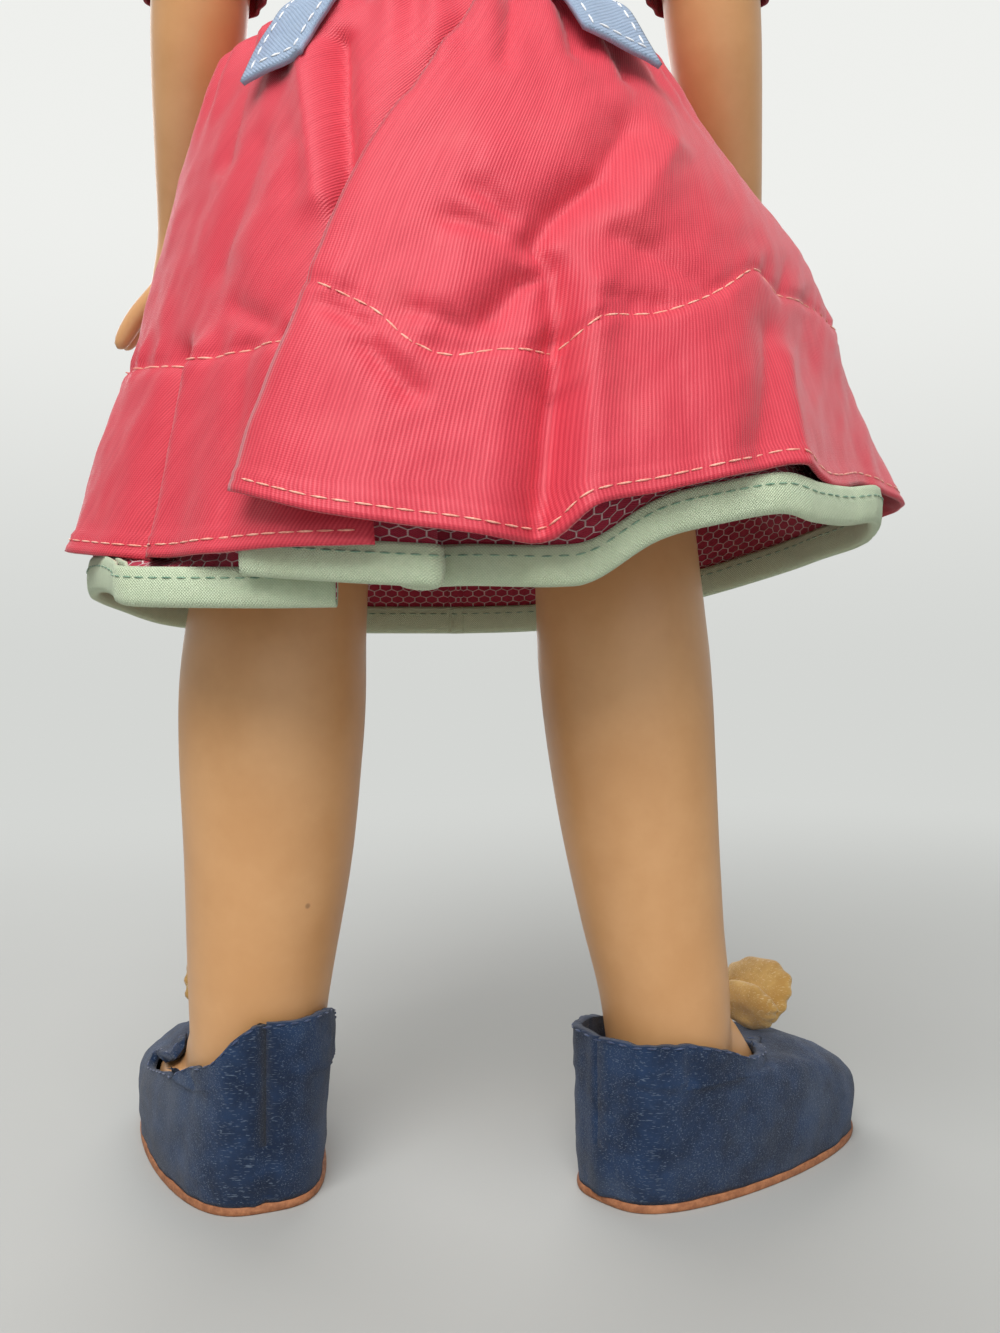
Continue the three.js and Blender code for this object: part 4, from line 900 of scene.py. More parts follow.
def skirt_relief(side, degrees, z, hem, tuck):
    """How far the cloth stands out: flutes, folds, gathers, the tuck's band and fine creases."""
    fall, half, _, lean = skirt_section(z)
    c, back = math.cos(math.radians(degrees)), math.sin(math.radians(degrees))
    x = lean + half * c
    out = 2.6 * fall ** 1.4 * math.cos(math.radians(7 * (degrees - 97) + 180))
    if back > 0:
        depths = [fold(x, z, *one) for one in FOLDS[side]]
        out += (min(depths) + max(depths)) * ease(back, 0.05, 0.3)
    gathers = 0.9 * math.sin(math.radians(degrees) * 34 + 3 * ripple(degrees / 17, 0)) - 0.6
    out += ease(z, 158, 186) * gathers
    round_mm = math.radians(degrees) * half
    above = z - hem - tuck
    out += 0.55 * (1 - ease(above, -0.5, 0.5)) - 0.5 * bump(above, 0.9)
    out += 0.9 * ripple(round_mm / 2.6, 7.5) * bump(above - 1.5, 3)
    out += 0.35 * (1 - ease(z - hem, 2.5, 3.1)) - 0.25 * bump(z - hem - 1.8, 0.5)
    out += 1.1 * ripple(round_mm / 24, z / 30, 3.1) * fall
    out += 0.5 * ripple(round_mm / 9, z / 13, 9.4) + 0.22 * ripple(round_mm / 3.6, z / 4.2, 4.2)
    left, right = max(c, 0), max(-c, 0)
    out -= (NARROW["left"] * ease(fall, 0, 0.65) * left ** 1.5
            + NARROW["right"] * ease(fall, 0.4, 0.68) * right ** 2)
    hip = ease(fall, 0.0, 0.13) * (1 - ease(fall, 0.19, 0.5)) * ease(back, -0.5, 0.2)
    out -= NARROW["right_hip"] * hip * right ** 1.2
    return out


def right_panel(share, v, lift=0.0):
    turned = mix(*SKIRT_ENDS["right"], share)
    hem, tuck = HEM_RIGHT(turned), TUCK["right"](turned)
    z = mix(hem, SKIRT_TOP, v)
    edge = skirt_angle(SKIRT_EDGE(z), z)
    degrees = mix(edge, SKIRT_ENDS["right"][1], share)
    fall, half, _, _ = skirt_section(z)
    arc = math.radians(degrees - edge) * half
    out = skirt_relief("right", degrees, z, hem, tuck) + lift
    out += 2.7 * ease(fall, 0, 0.4) * (1 - ease(arc, 4, 46)) + 0.6 - 0.7 * bump(arc, 1.2)
    out -= 1.4 * ease(degrees, 250, 270)
    return at(*into_waist(*on_skirt(degrees, z, out), z, 2.7), z)


def left_panel(share, v, lift=0.0):
    under = 16 * (1 - share)  # degrees that lie under the right panel
    turned = mix(64 + under, SKIRT_ENDS["left"][1], share)
    hem, tuck = HEM_LEFT(turned), TUCK["left"](turned)
    z = mix(hem, SKIRT_TOP, v)
    edge = skirt_angle(SKIRT_EDGE(z), z)
    degrees = mix(edge + 15, SKIRT_ENDS["left"][1], share)
    tucked = 1.2 * ease(degrees - edge, -4, 3)
    out = skirt_relief("left", degrees, z, hem, tuck) + lift - tucked
    return at(*into_waist(*on_skirt(degrees, z, out), z, 2.5), z)


def panel_line(panel, height):
    """Points and outward directions along a panel at a height above its hem."""
    line, count, lift = [], 900, 0.1
    for i in range(count + 1):
        share = mix(0.004, 0.996, i / count)
        hem = panel(share, 0.0).z / MM
        v = height(share) / (SKIRT_TOP - hem)
        here = panel(share, v, lift)
        along, up = panel(share + 0.002, v, lift), panel(share, v + 0.01, lift)
        outward = (along - here).cross(up - here)
        if outward.dot(here - at(-4, 0, here.z / MM)) < 0:
            outward = -outward
        line.append((here, outward.normalized()))
    return line


def make_skirt():
    for side, panel, across, finish in (
            ("right", right_panel, 200, "taffeta"), ("left", left_panel, 170, "taffeta_bias")):
        hem = [panel(i / 100, 0.0) for i in range(101)]
        flat = (sum((b - a).length for a, b in zip(hem, hem[1:])) / MM, SKIRT_CUT)
        cloth = lay_grid(f"{side}_skirt_panel", across, 104, panel, flat, outward=True)
        sew(cloth, 0.65, finish)
        heights = {
            "tuck": lambda share, s=side: TUCK[s](mix(*SKIRT_ENDS[s], share)),
            "hem": lambda share: 1.8}
        stitches = join(f"{side}_skirt_stitches", [
            stitch_line(f"{side}_{row}_stitches", panel_line(panel, height), *SKIRT_STITCH)
            for row, height in heights.items()])
        dress(stitches, "peach_thread")
        for piece in (cloth, stitches):
            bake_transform(piece)
        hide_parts("skirt")


PETTICOAT_HEM = {
    "right": line_through([
        (26, 44, 97), (14, 47, 96), (4, 48, 95.4), (0.5, 47.4, 95.2), (2.5, 45.4, 95),
        (5, 43.9, 95.5), (2, 42.2, 95.6), (-4, 42.4, 95.8), (-15, 43.2, 95.6), (-20, 44, 96.5),
        (-28, 44.5, 101.5), (-37, 43, 104), (-45, 40.5, 105.5), (-50, 37, 104.8), (-56, 31, 105),
        (-61, 26, 106), (-64, 19, 106), (-66, 10, 105.5), (-67, 0, 105), (-64, -10, 104),
        (-60, -20, 102.5), (-50, -31, 99.5), (-40, -38, 97), (-28, -43, 94), (-15, -46, 92.5),
        (0, -46.5, 92), (3, -46, 92)]),
    "left": line_through([
        (14, 42.0, 93), (22, 41.5, 92.9), (30, 40, 93), (39, 38, 93.2), (44, 35.6, 93.6),
        (46, 31, 94.6), (50, 24, 96), (55, 14, 96.5), (59, 2, 96), (59, -10, 95), (55, -22, 93),
        (47, -32, 92), (38, -39, 92), (27, -44, 92), (14, -46, 92), (0, -46.5, 92)]),
}


def inside_skirt(side, x, y, z):
    """Moves a point of the petticoat in, where it would stand out through the skirt."""
    _, half, depth, lean = skirt_section(z)
    degrees = math.degrees(math.atan2(y / depth, (x - lean) / half))
    if side == "right":
        degrees %= 360
    hem = HEM_RIGHT(degrees) if side == "right" else HEM_LEFT(degrees)
    tuck = TUCK[side](degrees)
    c, s = math.cos(math.radians(degrees)), math.sin(math.radians(degrees))
    level = math.hypot((x - lean) / half, y / depth)
    radius = math.hypot(half * c, depth * s)
    over = SIDES if abs(x) < 32 and y > 0 else (side,)
    inmost = min(skirt_relief(each, degrees + turn, z, hem, tuck)
                 for each in over for turn in (-2, 0, 2))
    inmost -= 1.2 * (len(over) - 1)
    limit = 1 + (inmost - 2.7) / radius
    if level > limit:
        level = mix(level, limit, ease(z - hem, -3.5, 0.5))
    return lean + half * c * level, depth * s * level


def petticoat_at(side, share, v):
    """The cloth from its hem, v = 0, up to the waist."""
    hem = PETTICOAT_HEM[side](share)
    z = mix(hem.z + 0.8, SKIRT_TOP - 3, v)
    _, half, depth, lean = skirt_section(hem.z)
    degrees = math.degrees(math.atan2(hem.y / depth, (hem.x - lean) / half))
    x, y = on_skirt(degrees, z, -3.4 - 1.2 * ease(z, 168, 186))
    low = 1 - ease(z - hem.z, 4, 34)
    x, y = inside_skirt(side, mix(x, hem.x, low), mix(y, hem.y, low), z)
    return at(*into_waist(x, y, z, 1.7), z)


TAPE_HALF = 0.6  # from the middle of the petticoat's cloth to each side of the tape
TAPE_TALL = 5.2
TAPE_CUT = 2 * (TAPE_TALL - TAPE_HALF) + math.pi * TAPE_HALF


def binding_at(side, share, v):
    """The tape folded round the hem: down the outside, round the edge and up the inside."""
    hem = PETTICOAT_HEM[side]
    along = (hem(min(share + 0.004, 1)) - hem(max(share - 0.004, 0))).normalized()
    outward = Vector((along.y, -along.x, 0)).normalized()
    if side == "left":
        outward = -outward
    down = v * TAPE_CUT
    straight = TAPE_TALL - TAPE_HALF
    turn = clamp((down - straight) / TAPE_HALF, 0, math.pi)
    if down < straight:
        height = TAPE_TALL - down
    else:
        height = TAPE_HALF * (1 - math.sin(turn)) + max(down - straight - math.pi * TAPE_HALF, 0)
    puff = 0.3 * math.sin(math.pi * clamp(height / TAPE_TALL))
    puff += 0.15 * ripple(share * hem.length / 2.4, 3.3)
    offset = (TAPE_HALF + puff) * math.cos(turn)
    return at(*(hem(share) + Vector((0, 0, height)) + outward * offset))


def tape_row(side, v):
    row = []
    for i in range(601):
        share = mix(0.002, 0.998, i / 600)
        point = binding_at(side, share, v)
        away = (point - binding_at(side, share, 1 - v)).normalized()
        row.append((point + away * 0.3 * MM, away))
    return row


def make_petticoat():
    for side in SIDES:
        wide = PETTICOAT_HEM[side].length
        cloth = lay_grid(
            f"{side}_petticoat", 220, 60, lambda u, v: petticoat_at(side, u, v ** 1.6),
            (wide, SKIRT_CUT), outward=True)
        sew(cloth, 0.5, "petticoat", 0.0)
        tape = lay_grid(
            f"{side}_petticoat_tape", 320, 18, lambda u, v: binding_at(side, u, v),
            (wide, TAPE_CUT))
        sew(tape, 0.45, "binding", 0.0)
        stitches = join(f"{side}_tape_stitches", [
            stitch_line(f"{side}_tape_stitches_{k}", tape_row(side, v), 1.9, 1.5, 0.28)
            for k, v in enumerate((0.13, 0.87))])
        dress(stitches, "green_thread")
        for piece, slot in ((cloth, "petticoat"), (tape, "binding"), (stitches, "binding")):
            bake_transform(piece)
        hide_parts("petticoat")
        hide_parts("petticoat_binding")


make_skirt()
make_petticoat()


# Legs and shoes

HIP_X, HIP_Z, HIP_BALL = 22, 168, 16
CORD_RISE = 63.3  # from the hip up to where the leg's cord hangs
LEG_MIDDLE = {
    "left": curve_through(
        (4, 33.6), (29, 32.6), (53, 30.8), (72, 30.2), (91, 29.4), (130, 25.4), (168, 22)),
    "right": curve_through(
        (4, -36.4), (29, -35), (43, -32.7), (58, -30.6), (73, -29), (92, -27.5), (130, -25),
        (168, -22)),
}
LEG_RADIUS = {
    "left": curve_through(
        (4, 8.6), (20, 10.7), (29, 11.4), (53, 13.7), (72, 15), (82, 15.2), (95, 14.5),
        (112, 13.6), (135, 15), (152, 15.8), (168, 15.4)),
    "right": curve_through(
        (4, 8.2), (20, 10.1), (29, 10.7), (43, 11.8), (58, 13), (73, 13.9), (85, 14.2), (97, 13.8),
        (112, 13.4), (135, 15), (152, 15.8), (168, 15.4)),
}
CALF_BACK = curve_through((24, 0), (86, 1.5), (112, 0))
ANKLE_X = 34.2
TOE_OUT = {"left": 22, "right": -47}
INSTEP = curve_through((0, 35), (8, 31), (13, 26.5), (17, 21), (20, 18.2), (24, 16))
SHOE_BOTTOM = 1.25
SOLE_THICK = 1.2
TOPLINE = {
    "left": curve_through((-18, 20), (-8, 21.2), (-2, 23.6), (4, 27.6), (9, 29), (14.6, 29.3)),
    "right": curve_through((-18, 20.4), (-8, 21.4), (-1, 23.6), (5, 25.4), (14.6, 26.2)),
}


def at_foot(side, x, y, z):
    """A point drawn round the ankle, toes towards -Y, placed at the end of its leg."""
    turn = math.radians(TOE_OUT[side])
    c, s = math.cos(turn), math.sin(turn)
    return at(SIDES[side] * ANKLE_X + x * c - y * s, x * s + y * c, z)


def shoe_outline(turn, z, inset):
    rise = clamp((z + inset - 6) / 14)
    toe = 18 + 28.5 * (1 - rise ** 2.2) ** 0.6 - inset
    heel = 14.6 - inset
    half = 15.4 - inset - ease(z, 10, 29)
    a = turn * math.tau
    bulge = math.copysign(abs(math.sin(a)) ** 0.62, math.sin(a))
    y = (heel - toe) / 2 + (heel + toe) / 2 * math.cos(a)
    return half * bulge * (1 - 0.1 * math.cos(a)), y


def make_leg(side):
    sign = SIDES[side]
    hip = at(sign * HIP_X, 0, HIP_Z)

    def limb_at(u, v):
        z = mix(4.5, HIP_Z, v)
        radius, a = LEG_RADIUS[side](z), u * math.tau
        x, y = LEG_MIDDLE[side](z), CALF_BACK(z)
        return at(x + radius * math.cos(a), y + radius * math.sin(a), z)

    def foot_at(u, v):
        z = mix(4.9, 16, v)
        return at_foot(side, *shoe_outline(u, z, 2.9), z)

    def instep_at(u, v):
        a = u * math.tau
        forward = mix(0, 24, v)
        ridge = INSTEP(forward)
        z = (ridge + 6) / 2 + (ridge - 6) / 2 * math.sin(a)
        return at_foot(side, mix(10, 8, v) * math.cos(a), -forward, z)

    parts = [lay_grid(name, sides, rows, place, closed=True) for name, sides, rows, place in (
        ("limb", 64, 100, limb_at), ("foot", 64, 16, foot_at), ("instep", 48, 20, instep_at))]
    for part in parts:
        close_ends(part)
    parts.append(ball("hip_ball", hip, HIP_BALL))
    leg = melt(join(f"{side}_leg_moulding", parts), 0.75, 8)
    pull = Vector((-sign * HIP_X, 0, CORD_RISE)).normalized()
    cut_with(leg, rod("mouth", hip - pull * 4.1 * MM, hip + pull * 24 * MM, 7.6))
    soften(leg)
    fit(leg, "skin", "plastic", f"{side}_leg", f"{side}_leg_front", f"{side}_leg_back")


def upper_at(side, u, v):
    """The felt upper from the sole's edge, v = 0, to the topline."""
    aside, level = shoe_outline(u, 23, 0)
    top = TOPLINE[side](level) + 0.35 * ripple(u * 30, 2.2)
    if side == "left":
        top -= 7.4 * ease(aside, 1, 12) * ease(level, -17, -5)
    z = mix(SHOE_BOTTOM, top, 1 - (1 - v) ** 1.8)
    x, y = shoe_outline(u, z, 0)
    close = 2.6 * ease(x, 6, 13) if side == "left" else 1.1 * ease(abs(x), 6, 13)
    inset = close * ease(z, 9, 24)
    inset += (0.5 * (1 - ease(z, SHOE_BOTTOM, 6)) - 0.35 * ripple(x / 6, y / 6, z / 6)
              - 0.15 * ripple(x / 2, y / 2, z / 2))
    if y > 8:
        if side == "right":
            seam = 1.0 * bump(x - 0.6, 1.5)
        else:
            seam = 0.5 * bump(x - 1.4, 1.1) - 0.7 * bump(x, 0.5)
        inset -= seam * ease(y, 8, 12)
    else:
        inset += 0.5 * bump(y - 2 - z * 0.3, 3) * ease(abs(x), 8, 14)
    x, y = shoe_outline(u, z, inset)
    return at_foot(side, x, y, z)


def sole_at(side, u, v):
    """A thin closed plate: out along its underside, up its edge and back over its top."""
    reach = clamp(min(v, 1 - v) / 0.42)
    x, y = shoe_outline(u, 6, 0.3)
    rim = 0.5 * (1 - math.cos(math.pi * clamp((v - 0.42) / 0.16)))
    bulge = 1 + 0.006 * math.sin(math.pi * rim)
    return at_foot(
        side, x * reach * bulge, -16 + (y + 16) * reach * bulge, mix(0.0, SOLE_THICK, rim))


# Place along the shoe, height, half width, half height, half thickness and lean of each half
POMPOM_HALVES = (-27, 26.2, 7.2, 6.4, 2.4, 24), (-24.4, 24, 6.3, 4.4, 2.0, -14)


def ruffle_at(side, half, u, v):
    """One plump half of the felt disc that is folded across the shoe, with a crimped rim."""
    along, height, wide, tall, thick, lean = half
    a, b = u * math.tau, math.pi * clamp(v, 0.004, 0.996)
    x, up, through = math.sin(b) * math.cos(a), math.sin(b) * math.sin(a), -math.cos(b)
    crimp = 0.035 * math.sin(11 * a + 2 * math.sin(2 * a)) * bump(through, 0.6)
    reach = 1 + crimp + 0.1 * ripple(x * 1.6, up * 1.6, wide)
    dent = 1 - 0.35 * bump(math.hypot(x, up + 0.3), 0.45)
    c, s = math.cos(math.radians(lean)), math.sin(math.radians(lean))
    up, through = up * tall * reach, through * thick * dent
    return at_foot(
        side, x * wide * reach, along - up * s + through * c, height + up * c + through * s)


def make_shoe(side):
    upper = lay_grid(
        f"{side}_shoe_felt", 144, 60, lambda u, v: upper_at(side, u, v), closed=True)
    thicken(upper, 1.5)
    soften(upper)
    sole = lay_grid(
        f"{side}_shoe_leather", 96, 40, lambda u, v: sole_at(side, u, v), closed=True)
    ruffles = []
    for half in POMPOM_HALVES:
        disc = lay_grid("ruffle", 72, 28, lambda u, v: ruffle_at(side, half, u, v), closed=True)
        close_ends(disc)
        soften(disc)
        ruffles.append(disc)
    pompom = join(f"{side}_shoe_ruffles", ruffles)
    line = []
    for i in range(220):
        u = mix(-0.5, 0.5, i / 219)
        here = upper_at(side, u % 1, 0.94)
        away = (here - at_foot(side, 0, 0, here.z / MM)).normalized()
        line.append((here + away * 0.1 * MM, away))
    stitches = stitch_line(f"{side}_shoe_stitches", line, 2.2, 1.5, 0.3)
    fit(upper, "felt", "felt", f"{side}_leg", f"{side}_shoe_upper")
    fit(sole, "sole", "sole", f"{side}_leg", f"{side}_shoe_sole")
    fit(pompom, "pompom", "pompom", f"{side}_leg", f"{side}_shoe_pompom")
    fit(stitches, "blue_thread", "felt", f"{side}_leg")


# Arms and sleeves

SHOULDER_X, SHOULDER_Z = 40, 250
ARM_BENDS = (40, 0, 250), (42.5, -1.5, 203), (51.5, -26, 166), (57.2, -32, 154.7)
ARM_LONG = 106
ARM_LINE = {side: line_through([(sign * x, y, z) for x, y, z in ARM_BENDS])
            for side, sign in SIDES.items()}
ARM_THICK = curve_through(
    (0, 8.8), (0.3, 8.5), (0.45, 8.2), (0.57, 7.9), (0.75, 6.5), (0.88, 5.1), (0.94, 4.4),
    (1, 2.7))
ARM_WIDE = curve_through(
    (0, 8.8), (0.3, 8.5), (0.45, 8.3), (0.57, 8.1), (0.75, 6.7), (0.88, 5.5), (0.95, 6.5),
    (1, 6.3))


def tube(name, line, wide, thick, across, sides=40, rows=90):
    """A closed limb round a line, oval in section."""

    def place(u, v):
        along = (line(min(v + 0.01, 1)) - line(max(v - 0.01, 0))).normalized()
        side = (across - along * across.dot(along)).normalized()
        up = along.cross(side)
        a = u * math.tau
        return at(*(line(v) + side * wide(v) * math.cos(a) + up * thick(v) * math.sin(a)))

    piece = lay_grid(name, sides, rows, place, closed=True)
    close_ends(piece)
    return piece


def finger(name, root, tip, radius, bend):
    """A finger that curls a little and rounds off at its tip."""
    line = line_through([root, (root + tip) / 2 + bend, tip])
    size = curve_through(
        (0, radius), (0.5, radius * 1.02), (0.8, radius * 0.92), (0.94, radius * 0.66),
        (1, radius * 0.15))
    return tube(name, line, size, size, Vector((0.3, 1, 0.2)), 16, 24)


def make_arm(side):
    sign = SIDES[side]
    wrist, knuckles = (Vector((sign * x, y, z)) for x, y, z in ARM_BENDS[2:])
    reach = (knuckles - wrist).normalized()
    flat = (Vector((0, 1, 0)) - reach * reach.y).normalized()
    palm = reach.cross(flat) * -sign
    point = Vector((sign * 0.7, -0.38, -0.6)).normalized()
    parts = [tube("limb", ARM_LINE[side], ARM_WIDE, ARM_THICK, flat),
             ball("shoulder_ball", at(sign * SHOULDER_X, 0, SHOULDER_Z), 11)]
    for i, share in enumerate((0.82, 0.98, 1, 0.9)):
        root = knuckles + flat * (i - 1.5) * 3.3 - reach * 4
        tip = root + reach * 4 + point * 12 * share + flat * (i - 1.5) * 0.8
        parts.append(finger(f"finger_{i}", root, tip, 1.8, palm * -0.6))
    root = wrist + reach * 2 - flat * 3.4
    parts.append(finger("thumb", root, root + reach * 10 - flat * 4.6, 2.0, flat * -0.9))
    arm = melt(join(f"{side}_arm_moulding", parts), 0.5, 5)
    cut_with(arm, rod("mouth", at(sign * 26, 0, SHOULDER_Z), at(sign * 37, 0, SHOULDER_Z), 4.6))
    soften(arm)
    fit(arm, "skin", "plastic", f"{side}_arm", f"{side}_arm_outer", f"{side}_arm_inner")


CUFF_Z = 199
SLEEVE_INNER = 31.2  # the side next to the body
SLEEVE_HINGE_Z = 237.4  # under the arm, where the sleeve turns towards its armhole
SLEEVE_FAN = curve_through((0, 21.8), (25, 25.6), (45, 27.4), (70, 26.4), (90, 25.2))
UP_ARM, ROUND_SHOULDER = 0.55, 0.82  # shares of the sleeve


def sleeve_at(side, u, v):
    """From the cuff, v = 0, up the arm, round the shoulder and in to the armhole."""
    sign, a = SIDES[side], u * math.tau
    outer_share = 0.5 + 0.5 * math.cos(a)
    pleats = math.sin(a * 15 + 2 * ripple(u * 9, 1))
    if v < UP_ARM:
        share = v / UP_ARM
        z = mix(CUFF_Z, SLEEVE_HINGE_Z, share)
        here = ARM_LINE[side](clamp((SHOULDER_Z - z) / ARM_LONG))
        radius = mix(10.4, 12.2, share) + 0.35 * (1 - ease(z, CUFF_Z + 2.2, CUFF_Z + 2.8))
        radius += (0.4 * pleats * bump(share - 0.1, 0.14)
                   + 0.5 * ripple(u * 6, share * 4) * math.sin(math.pi * share))
        inner, outer = max(sign * here.x - radius, SLEEVE_INNER), sign * here.x + radius
        return at(sign * mix(inner, outer, outer_share), here.y + radius * math.sin(a), z)
    turn = math.radians(90 * clamp((v - UP_ARM) / 0.27))
    inward = clamp((v - ROUND_SHOULDER) / 0.18)
    reach = SLEEVE_FAN(math.degrees(turn)) * outer_share
    swell = 0.45 * pleats * math.sin(turn) * outer_share + 0.3 * ripple(u * 6, v * 9)
    swell *= 1 - 0.85 * inward
    reach += swell * math.cos(a)
    x = SLEEVE_INNER + reach * math.cos(turn)
    y = (12.3 + 0.3 * swell) * math.sin(a)
    z = SLEEVE_HINGE_Z + reach * math.sin(turn) - 2 * inward * ease(math.cos(a), 0.2, 1)
    seam = clamp(torso_side(y, z) + 0.4, 19.5, SLEEVE_INNER)
    return at(sign * mix(x, seam, inward), y, z)


def make_sleeve(side):
    sleeve = lay_grid(
        f"{side}_sleeve_cloth", 120, 80, lambda u, v: sleeve_at(side, u, v), (76, 66), closed=True)
    sew(sleeve, 0.6, "bodice")
    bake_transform(sleeve)
    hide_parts(f"{side}_sleeve")


for side in SIDES:
    make_leg(side)
    make_shoe(side)
    make_arm(side)
    make_sleeve(side)


# Bodice, waistband and vest

NECKLINE_Z = 261.3


def cut_armholes(piece, radius, inner):
    for sign in SIDES.values():
        start, end = at(sign * inner, 0, SHOULDER_Z), at(sign * 80, 0, SHOULDER_Z)
        cut_with(piece, rod("armhole", start, end, radius, 64))


def bodice_at(u, v):
    z = mix(190.4, NECKLINE_Z, v)
    degrees = 360 * u
    room = 0.55 + 0.2 * ripple(u * 14, z / 9) + 0.3 * (1 - ease(NECKLINE_Z - z, 1.8, 2.3))
    opening = 0.5 * bump(degrees - 90, 3.5) - 0.6 * bump(degrees - 84, 0.9)
    darts = bump(degrees - 235, 1.2) + bump(degrees - 305, 1.2)
    tuck = -0.4 * darts * (1 - ease(z, 218, 232))
    return at(*on_torso(degrees, z, room + opening + tuck), z)


def facing_at(sign, u, v):
    """A strip round the armhole that stays inside the sleeve when the arm is raised."""
    a = u * math.tau
    radius = 11.4 - ease(math.cos(a), 0.3, 1)
    y, z = radius * math.sin(a), SHOULDER_Z + radius * math.cos(a)
    return at(sign * mix(clamp(torso_side(y, z), 19, 30.4), 30.9, v), y, z)


def waistband_at(u, v):
    """A strip folded over at its top: up the outside and down the inside."""
    turn = math.pi * clamp((v - 0.44) / 0.12)
    rise = clamp(v / 0.44) if v < 0.5 else clamp((1 - v) / 0.44)
    z = mix(190.5, 195.6, rise) + 0.6 * math.sin(turn)
    puff = 0.3 * math.sin(math.pi * rise) + 0.25 * ripple(u * 40, rise * 2)
    return at(*on_torso(360 * u, z, 2.5 + 0.6 * math.cos(turn) + puff * (v < 0.5)), z)


VEST_FROM, VEST_TO, VEST_TOP = -64, 244, 261.6
TAIL_TOP = 206
VEST_TAILS = {  # middle line by height, half width and lower end
    "left": (curve_through(
        (168, 25), (173, 23), (179, 19.8), (190, 17.2), (206, 15.5)), 4.3, 168.6),
    "right": (curve_through(
        (170, -25.6), (176, -22.6), (184, -18.6), (192, -16.4), (206, -15.5)), 4.8, 171.6),
}


def vest_at(u, v):
    degrees = mix(VEST_FROM, VEST_TO, u)
    low = mix(203, 199, ease(abs(degrees - 90), 0, 90))
    z = mix(low, VEST_TOP, v)
    grow = 3.4 + 1.5 * (1 - ease(z, 199, 207)) + 0.4 * ripple(u * 12, z / 10, 5)
    edge = min(u, 1 - u) * 180
    grow += 0.3 * (1 - ease(edge, 2.2, 2.6)) + 0.3 * (1 - ease(z - low, 2.2, 2.6))
    return at(*on_torso(degrees, z, grow), z)


def tail_at(side, u, v, lift=0.0):
    middle, half, end = VEST_TAILS[side]
    slope = 1.6 * (u - 0.5) * (1 if side == "left" else -2)
    z = mix(end + slope, TAIL_TOP, v)
    x = middle(z) + (0.5 - u) * 2 * half * mix(1, 1.12, v)
    out = 1.7 + lift + 0.45 * ripple(u * 3, z / 7, 8) - 1.9 * ease(z, 197, 204)
    low = min(z, SKIRT_TOP - 1)
    degrees = skirt_angle(x, low)
    shape = max(skirt_relief(side, degrees, low, 100, 27), 0) + (0.8 if side == "right" else 0)
    _, y_skirt = into_waist(*on_skirt(degrees, low, out + shape), low, 2.7 + out)
    over = TORSO_BACK(z) * math.sqrt(max(1 - (x / TORSO_HALF(z)) ** 2, 0.04))
    y_band = over + 3.7 + out
    return at(x, max(mix(y_skirt, y_band, ease(z, 184, 194)), y_band), z)


def tail_stitches(side):
    corners = [(0.15, 0.9), (0.15, 0.045), (0.85, 0.045), (0.85, 0.9)]
    line = []
    for (u0, v0), (u1, v1) in zip(corners, corners[1:]):
        for i in range(90):
            t = i / 90
            here = tail_at(side, mix(u0, u1, t), mix(v0, v1, t), 0.12)
            line.append((here, Vector((0.1, 1, 0.1))))
    return stitch_line(f"{side}_tail_stitches", line, 2.0, 1.6, 0.32)


def make_bodice():
    body = lay_grid("bodice_cloth", 144, 60, bodice_at, (190, 67), closed=True)
    thicken(body, 0.8, 1.0)
    cut_armholes(body, 10.6, 23)
    parts = [body]
    for sign in SIDES.values():
        strip = lay_grid("facing", 96, 8, lambda u, v: facing_at(sign, u, v), (72, 8), closed=True)
        thicken(strip, 0.4)
        parts.append(strip)
    bodice = join("bodice_cloth", parts)
    soften(bodice)
    fit(bodice, "bodice", "bodice", "torso", "bodice")


def make_waistband():
    band = lay_grid("waistband_cloth", 160, 24, waistband_at, (150, 12.4), closed=True)
    sew(band, 0.45, "taffeta", 0.0)
    fit(band, "taffeta", "skirt", "torso", "waistband")


def make_vest():
    body = lay_grid("vest_body", 160, 60, vest_at, (150, 56), outward=True)
    thicken(body, 1.1)
    cut_armholes(body, 15, 25.5)
    parts = [body]
    for side in SIDES:
        tail = lay_grid(
            f"{side}_tail", 24, 48, lambda u, v: tail_at(side, u, v), (9, 38), outward=True)
        thicken(tail, 0.9)
        parts.append(tail)
    vest = join("vest_cloth", parts)
    soften(vest)
    stitches = join("vest_stitches", [tail_stitches(side) for side in SIDES])
    fit(vest, "vest", "vest", "torso", "vest")
    fit(stitches, "white_thread", "vest", "torso")


make_bodice()
make_waistband()
make_vest()


# Head, eyes and hair

CHIN_Z, CROWN_Z = 274, 352
EYE_X, EYE_Y, EYE_Z = 13.2, -22.8, 309.1
EYE_BALL = 6.55
NOSE_Z, MOUTH_Z = EYE_Z - 11, EYE_Z - 20
NECK = (250, 4), (253, 8.2), (257, 10.5), (262, 11.3), (268, 11)


def head_curve(jaw, skull):
    """The neck, the jaw by height and the skull by its share of the head's height."""
    tall = CROWN_Z - CHIN_Z
    return curve_through(
        *NECK, *jaw, *((CHIN_Z + tall * share, size) for share, size in skull), (CROWN_Z, 4))


HEAD_HALF = head_curve(
    ((273, 13), (277, 18)),
    ((0.2, 27), (0.47, 33), (0.65, 32.6), (0.82, 29), (0.92, 22.5), (0.98, 13)))
HEAD_FRONT = head_curve(
    ((273, 14), (277, 26.5)),
    ((0.2, 32), (0.33, 32.5), (0.47, 31.3), (0.65, 32), (0.82, 28.5), (0.92, 22), (0.98, 12.5)))
HEAD_BACK = head_curve(
    ((277, 13),),
    ((0.2, 27), (0.47, 36), (0.65, 36), (0.82, 31.5), (0.92, 24.5), (0.98, 14)))


def head_radius(a, z):
    return oval(a, HEAD_HALF(z), HEAD_FRONT(z), HEAD_BACK(z))


